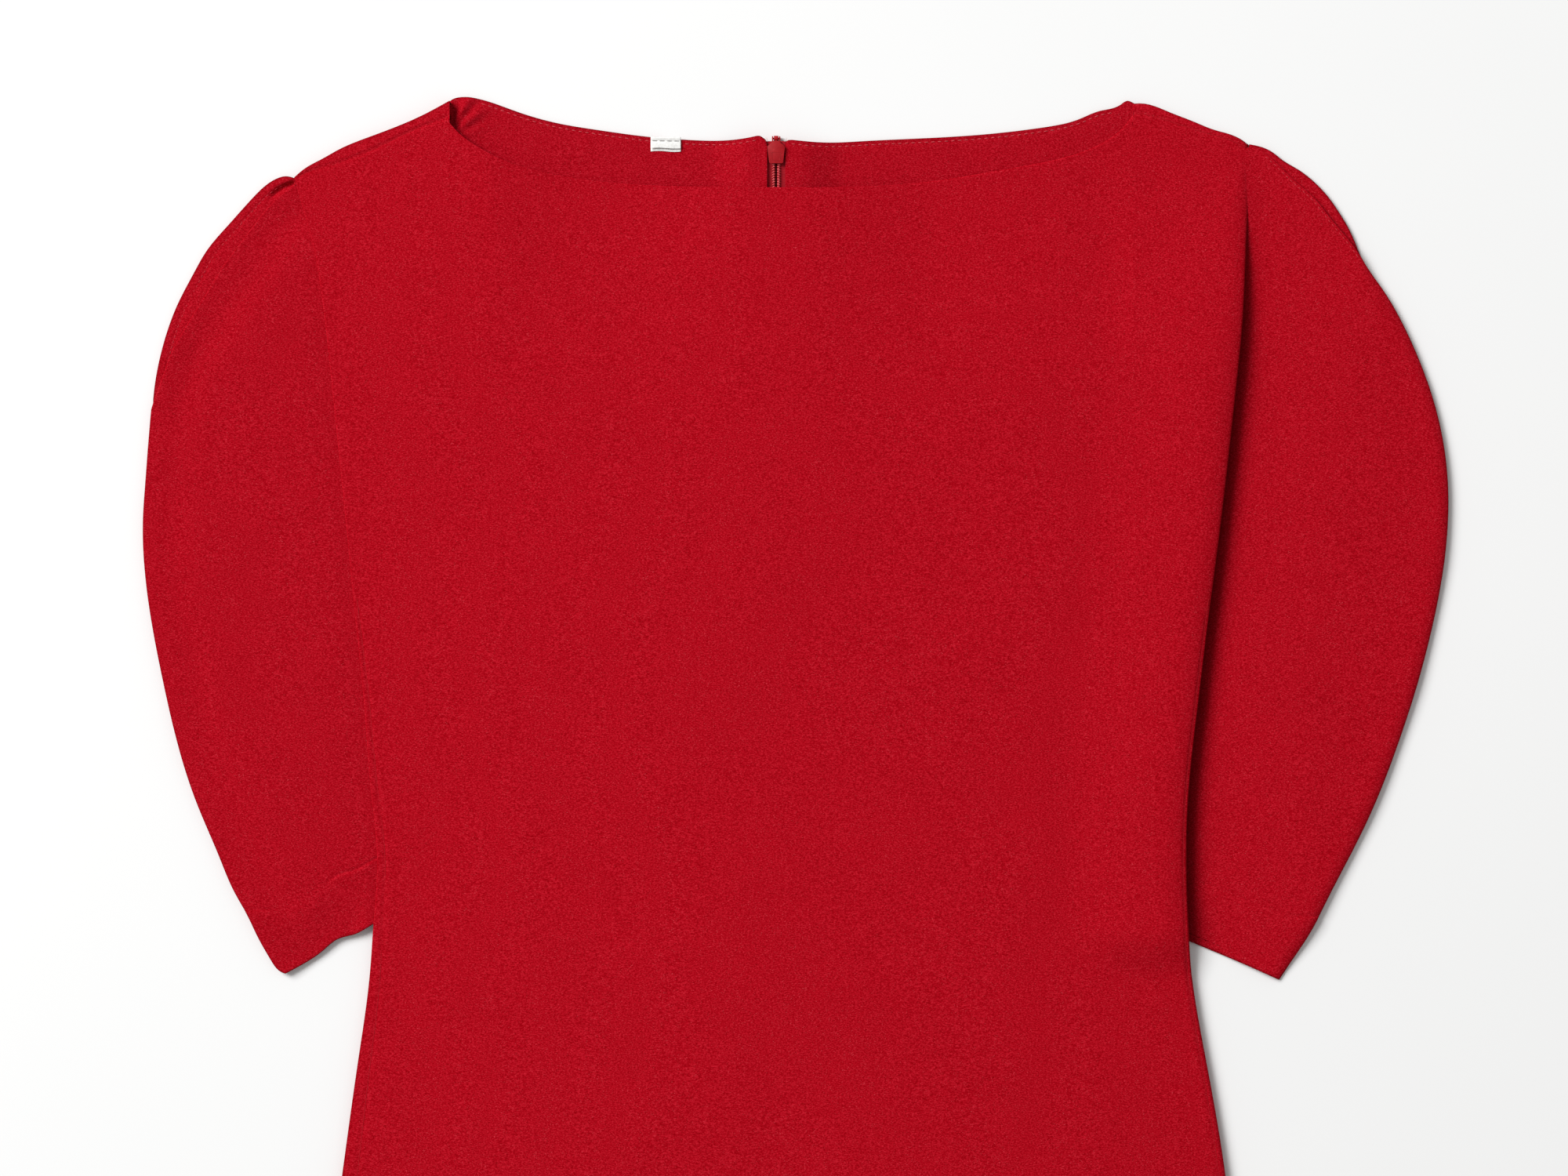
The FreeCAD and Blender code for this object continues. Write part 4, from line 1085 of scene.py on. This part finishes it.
def make_seams():
    """Seam threads and rows of stitches of both sides."""
    for side, s in SLEEVES.items():
        body = side + "_sleeve"
        on_sleeve = partial(sleeve_height, side)
        thread_line("side_seam_thread_" + side, ["side_seam_" + side], "dress", side_seam(side),
                    front_height, SEAM_THREAD)
        thread_line("shoulder_seam_thread_" + side, ["shoulder_seam_" + side], "dress",
                    smooth(plan(SHOULDER_SEAMS[side]), 80), front_height, SEAM_THREAD)
        outer, upper, inner = sleeve_lines(side)[:3]
        inside = (upper[:, 0].mean() * 0.9, TOP - 230)
        closed = upper[drop_of(upper) > s["slit_low"] + 4]
        arm = closed + inward(closed, inside) * 0.4
        thread_line("arm_seam_thread_" + side, ["arm_seam_" + side], body, arm, level(1.15), 0.18)
        thread_line("underarm_seam_thread_" + side, ["underarm_seam_" + side], body,
                    inner[drop_of(inner) > 225], lowered(on_sleeve, 0.7), SEAM_THREAD)

        if side == "left":
            edge, surface = outer[drop_of(outer) < s["slit_low"] - 10], partial(under_height, side)
        else:
            edge, surface = smooth(plan(s["slit"]), 80), on_sleeve
        row = edge + inward(edge, inside) * s["stitch"]
        stitch_object("slit_stitching_" + side, ["slit_stitches_" + side], body,
                      stitch_paths(row[6:-8], surface, *STITCHES["slit"]), 0.17, "thread", "pale_stitch")

        raised = smooth(plan(s["cuff"]), 60) + np.array([0, HEM_RISE])
        raised = raised[(s["sign"] * (raised[:, 0] - side_x(side, raised[:, 1]))) > 4]
        away = raised[0] + np.array([s["sign"] * 12.0, -5.5 if side == "right" else -8.0])
        row = np.concatenate([[away], raised])
        stitch_object("cuff_stitching_" + side, ["cuff_stitches_" + side], body,
                      stitch_paths(row, on_sleeve, *STITCHES["cuff"]), 0.10, "thread")
        stitch_object("neck_stitching_" + side, ["neck_stitches_" + side], "dress",
                      stitch_paths(stitch_line(side), lowered(facing_height, 0.18), *STITCHES["neck"]),
                      0.17, "light_thread")


def make_hem_and_front_stitches(neck_line):
    y = FRONT_LOW[1] + HEM_RISE
    half = side_x("right", y) - 10
    row = np.array([(-half, y), (half, y)])
    stitch_object("hem_stitching", ["hem_stitches"], "dress",
                  stitch_paths(row, front_height, *STITCHES["hem"]), 0.12, "thread")
    row = neck_line[8:-8] + inward(neck_line, (0, 0))[8:-8] * 1.2
    stitch_object("front_neck_stitching", ["front_neck_stitches"], "dress",
                  stitch_paths(row, lowered(front_height, CLOTH + 1.0), *STITCHES["neck"]),
                  0.15, "light_thread")


# ---------------------------------------------------------------- zip

def bevelled(obj, width, segments=2):
    bevel = obj.modifiers.new("edges", "BEVEL")
    bevel.width = width * MM
    bevel.segments = segments
    bevel.limit_method = "ANGLE"
    bevel.angle_limit = math.radians(35)
    apply_modifier(obj, bevel)
    obj.data.shade_smooth()
    obj.data.set_sharp_from_angle(angle=math.radians(40))


def rounded(points, radius, steps=5):
    """Polygon with its corners rounded."""
    points = [np.array(p, float) for p in points]
    out = []
    for i, corner in enumerate(points):
        before = points[i - 1] - corner
        after = points[(i + 1) % len(points)] - corner
        cut = min(radius, 0.45 * np.linalg.norm(before), 0.45 * np.linalg.norm(after))
        a = corner + before / np.linalg.norm(before) * cut
        b = corner + after / np.linalg.norm(after) * cut
        for k in range(steps + 1):
            t = k / steps
            out.append((1 - t) ** 2 * a + 2 * t * (1 - t) * corner + t * t * b)
    return out


def plate(outline, low, high):
    """Vertices and faces of an upright block over an outline in plan."""
    count = len(outline)
    verts = [(x, y, low) for x, y in outline] + [(x, y, high) for x, y in outline]
    faces = [tuple(reversed(range(count))), tuple(range(count, 2 * count))]
    faces += [(k, (k + 1) % count, count + (k + 1) % count, count + k) for k in range(count)]
    return verts, faces


def gathered(parts):
    """Joins (vertices, faces) pairs into one."""
    verts, faces = [], []
    for part_verts, part_faces in parts:
        base = len(verts)
        verts += [tuple(v) for v in part_verts]
        faces += [tuple(base + k for k in face) for face in part_faces]
    return verts, faces


def bead(outline, z, radius):
    """Thin round bead along a closed outline, at the height z."""
    closed = outline + outline[:1]
    return tube_mesh([np.column_stack([closed, np.full(len(closed), z)])], radius, 6)


def metal_piece(name, parts, bevel, cad_node, body):
    """Painted metal piece joined from parts, with bevelled edges."""
    obj = new_object(name, *gathered(parts), smooth_shaded=False)
    bevelled(obj, bevel)
    place(obj, [cad_node], body, "zip_metal", "zip_metal")


def block(x0, x1, y0, y1, z0, z1, radius=0.25):
    outline = rounded([(x0, y0), (x1, y0), (x1, y1), (x0, y1)], radius, 3)
    return plate(outline, z0, z1)


COIL_INNER = 0.38


def collar(x0, x1, y, z, inner, outer, sides=28):
    """Vertices and faces of a short pipe along X."""
    verts, faces = [], []
    for x, radius in ((x0, inner), (x0, outer), (x1, outer), (x1, inner)):
        for k in range(sides):
            angle = 2 * math.pi * k / sides
            verts.append((x, y + radius * math.cos(angle), z + radius * math.sin(angle)))
    for ring in range(4):
        after = (ring + 1) % 4
        for k in range(sides):
            beside = (k + 1) % sides
            faces.append((ring * sides + k, ring * sides + beside,
                          after * sides + beside, after * sides + k))
    return verts, faces


def make_coils():
    """Both coils as real turns of nylon wire, with the cord that runs inside them."""
    for side, sign in SIGNS.items():
        centre_x = sign * (COIL_INNER + COIL_HIGH[0]) / 2
        centre_z = (COIL_LOW[2] + COIL_HIGH[2]) / 2
        wire = 0.27
        wide = (COIL_HIGH[0] - COIL_INNER) / 2 - wire
        tall = (COIL_HIGH[2] - COIL_LOW[2]) / 2 - wire
        pitch = 1.25
        turns = int((COIL_HIGH[1] - COIL_LOW[1] - 2 * wire) / pitch)
        angle = np.linspace(0, 2 * math.pi * turns, turns * 12 + 1)
        y = COIL_LOW[1] + wire + pitch * angle / (2 * math.pi)
        helix = np.stack([centre_x + sign * wide * np.cos(angle), y, centre_z + tall * np.sin(angle)], 1)
        core = np.array([(centre_x, COIL_LOW[1] + 0.3, centre_z), (centre_x, COIL_HIGH[1] - 0.3, centre_z)])
        parts = [tube_mesh([helix], wire, 6), tube_mesh([core], 0.3, 8)]
        obj = new_object("coil_wire_" + side, *gathered(parts))
        place(obj, ["zipper_coil_" + side], "dress", "coil", "coil")


def make_tapes():
    for side, sign in SIGNS.items():
        us = np.linspace(0, 1, 14)
        vs = np.linspace(0, 1, 240)
        x = sign * (COIL_INNER + (ZIP_HIGH[0] - COIL_INNER) * us)
        y = ZIP_LOW[1] + (ZIP_HIGH[1] - ZIP_LOW[1]) * vs
        xx, yy = np.meshgrid(x, y)
        zz = ZIP_HIGH[2] + 0.05 * np.sin(yy / 7) * us[None, :] - 0.02
        obj = sheet_object("tape_weave_" + side, np.dstack([xx, yy, zz]), [])
        thicken(obj, LINING)
        place(obj, ["zipper_tape_" + side], "dress", "tape", "tape")
        row = np.array([(8 * sign, ZIP_LOW[1] + 6), (8 * sign, ZIP_HIGH[1] - 9)])
        stitch_object("tape_stitching_" + side, ["zip_stitches_" + side], "dress",
                      stitch_paths(row, level(ZIP_HIGH[2]), *STITCHES["tape"]), 0.14, "thread")


def make_stops():
    low, high = reach("zipper_top_stops")
    outer = high[0]
    inner = COIL_LOW[0]
    parts = [block(sign * inner if sign > 0 else -outer, sign * outer if sign > 0 else -inner,
                   low[1], high[1], low[2], high[2]) for sign in (-1, 1)]
    metal_piece("top_stop_pair", parts, 0.2, "zipper_top_stops", "dress")
    low, high = reach("zipper_bottom_stop")
    clip = block(low[0], high[0], low[1], high[1], low[2], high[2])
    metal_piece("bottom_stop_clip", [clip], 0.15, "zipper_bottom_stop", "dress")


def make_slider():
    """Home-plate slider with its side guides, neck, foot, lugs and bar, and its pull."""
    low, high = reach("zipper_slider")
    pull_low = reach("zipper_pull")[0]
    joint = [j for j in frame["record"]["behaviour"]["joints"] if j["name"] == "pull_swing"][0]
    pivot = np.array(joint["pos_m"]) / MM
    half = high[0]
    base = low[1] + 1.2
    apex = base + 11.6
    top = high[2]
    outline = rounded([(-0.76 * half, base), (0.76 * half, base), (half, base + 8.4), (0.9, apex - 0.4),
                       (-0.9, apex - 0.4), (-half, base + 8.4)], 0.8)
    parts = [plate(outline, top - 0.7, top)]
    frame_line = rounded([(-0.44 * half, base + 1.4), (0.44 * half, base + 1.4), (0.5 * half, base + 5.6),
                          (-0.5 * half, base + 5.6)], 0.5)
    parts.append(bead(frame_line, top, 0.14))
    for sign in (-1, 1):
        x0, x1 = sorted((sign * 2.5, sign * 3.3))
        parts.append(block(x0, x1, base + 1.2, base + 8.0, top - 2.4, top - 0.6))
        x0, x1 = sorted((sign * 1.5, sign * 2.1))
        parts.append(block(x0, x1, pivot[1] - 2.4, pivot[1] + 1.0, 1.0, 3.0))
    parts.append(block(-0.38, 0.38, base + 2.5, apex - 0.1, 2.4, top - 0.5, 0.15))
    parts.append(block(-2.15, 2.15, base + 2.3, pivot[1] - 1.9, 2.3, 3.05, 0.9))
    bar = np.array([(-2.1, pivot[1], pivot[2]), (2.1, pivot[1], pivot[2])])
    parts.append(tube_mesh([bar], 0.45, 14))
    metal_piece("slider_casting", parts, 0.16, "zipper_slider", "slider")

    tab_low = pull_low[1]
    outline = rounded([(-2.1, tab_low), (2.1, tab_low), (2.7, tab_low + 5), (2.1, tab_low + 15),
                       (1.15, pivot[1] - 3.2), (1.15, pivot[1] - 0.6), (-1.15, pivot[1] - 0.6),
                       (-1.15, pivot[1] - 3.2), (-2.1, tab_low + 15), (-2.7, tab_low + 5)], 1.4)
    parts = [plate(outline, pull_low[2] + 0.02, pull_low[2] + 0.85)]
    groove_line = rounded([(-1.2, tab_low + 1.6), (1.2, tab_low + 1.6), (1.6, tab_low + 5),
                           (1.1, tab_low + 12), (-1.1, tab_low + 12), (-1.6, tab_low + 5)], 0.8)
    parts.append(bead(groove_line, pull_low[2] + 0.84, 0.13))
    parts.append(collar(-1.15, 1.15, pivot[1], pivot[2], 0.6, 1.35))
    metal_piece("pull_tab", parts, 0.14, "zipper_pull", "pull")


def make_frays():
    """A few loose fibres at the cut tops of the tapes."""
    paths = []
    for k in range(9):
        side = -1 if k % 2 else 1
        x = side * (4.0 + 0.35 * (k % 5))
        y = ZIP_HIGH[1] - 0.4
        lean = side * (0.6 + 0.25 * (k % 3))
        rise = 1.2 + 0.45 * ((k * 7) % 4)
        t = np.linspace(0, 1, 7)
        paths.append(np.column_stack([x + lean * t + 0.25 * np.sin(3 * t + k), y + rise * t,
                                      5.0 + 0.8 * t - 0.5 * t * t + 0.1 * np.sin(5 * t + k)]))
    obj = tube_object("tape_fray", paths, 0.075, 5, True)
    obj.data.materials.append(MATERIALS["fray"])
    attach(obj, "dress")


def make_back_seam():
    y = np.linspace(FRONT_LOW[1] + 2, ZIP_LOW[1] - 3, 150)
    z = back_height(0 * y, y) - 0.25
    paths = [np.column_stack([0 * y + x, y, z]) for x in (-0.3, 0.3)]
    obj = tube_object("centre_back_seam_thread", paths, 0.28)
    place(obj, ["centre_back_seam"], "dress", "thread", "thread")


# ---------------------------------------------------------------- label

def make_label():
    """Small blank woven label, folded in two and sewn along its upper edge."""
    low, high = reach("size_label")
    x0, x1 = low[0], high[0]
    top, bottom = high[1], low[1]
    base = low[2] + 0.12
    profile = [(bottom - 0.1, 0.10), (bottom + 2.5, 0.02), (top - 1.2, 0.0), (top - 0.1, 0.08),
               (top, 0.25), (top - 0.2, 0.42), (top - 1.0, 0.46), (top - 1.9, 0.26),
               (top - 2.9, 0.62), (top - 4.4, 0.95), (top - 5.6, 1.05)]
    line = smooth(profile, 70)
    across = np.linspace(0, 1, 26)
    grid = np.zeros((len(line), len(across), 3))
    for j, u in enumerate(across):
        wave = 0.16 * math.sin(u * 5.0) + 0.10 * math.sin(u * 11.0 + 1)
        share = np.clip((top - line[:, 0]) / (top - bottom), 0, 1)
        grid[:, j, 0] = x0 + (x1 - x0) * u + 0.25 * share * math.sin(u * 3)
        grid[:, j, 1] = line[:, 0] + 0.25 * share * math.sin(u * 6)
        grid[:, j, 2] = base + line[:, 1] + share * wave * blend_step(0.3, 0.8, line[:, 1])
    obj = sheet_object("folded_label", grid, [])
    thicken(obj, 0.12)
    place(obj, ["size_label"], "label", "label", "label")
    row = np.array([(x0 + 0.3, top - 1.85), (x1 - 0.2, top - 2.0)])
    stitch_object("label_stitching", ["label_stitches"], "label",
                  stitch_paths(row, level(base + 0.36), *STITCHES["label"]), 0.13, "dark_thread")


# ---------------------------------------------------------------- studio

def make_studio():
    """Pale floor, one soft light from the upper left and the camera straight above."""
    half = 14.0
    verts = np.array([(-half, -half, 0), (half, -half, 0), (half, half, 0), (-half, half, 0)]) / MM
    floor = new_object("floor", verts, [(0, 1, 2, 3)])
    floor.data.materials.append(floor_material("pale_paper"))

    world = bpy.data.worlds.new("studio")
    world.use_nodes = True
    background = world.node_tree.nodes["Background"]
    background.inputs["Color"].default_value = (1.0, 0.995, 0.985, 1)
    background.inputs["Strength"].default_value = 0.36
    bpy.context.scene.world = world

    light = bpy.data.lights.new("key_light", "AREA")
    light.shape = "RECTANGLE"
    light.size = light.size_y = 3.6
    light.energy = 545
    lamp = bpy.data.objects.new("key_light", light)
    lamp.location = (-4.2, 3.2, 4.5)
    aim = Vector((0.0, 0.2, 0)) - Vector(lamp.location)
    lamp.rotation_euler = aim.to_track_quat("-Z", "Y").to_euler()
    bpy.context.collection.objects.link(lamp)

    scale_plane = 0.005
    wide = 0.780
    distance = 1.9
    camera_data = bpy.data.cameras.new("camera")
    sensor = 36
    camera_data.sensor_width = sensor
    camera_data.lens = sensor * distance / wide
    camera = bpy.data.objects.new("camera", camera_data)
    camera.location = (0.0039, 0.240, distance + scale_plane)
    bpy.context.collection.objects.link(camera)
    bpy.context.scene.camera = camera
    bpy.context.scene.view_settings.view_transform = "Standard"
    bpy.context.scene.view_settings.look = "None"


for side in SIGNS:
    make_back(side)
make_front()
for side in SIGNS:
    make_back_facing(side)
neck_line = make_front_facing()
for side in SIGNS:
    make_sleeve(side)
make_seams()
make_hem_and_front_stitches(neck_line)
make_tapes()
make_coils()
make_stops()
make_slider()
make_frays()
make_back_seam()
make_label()
make_studio()

bpy.context.view_layer.update()
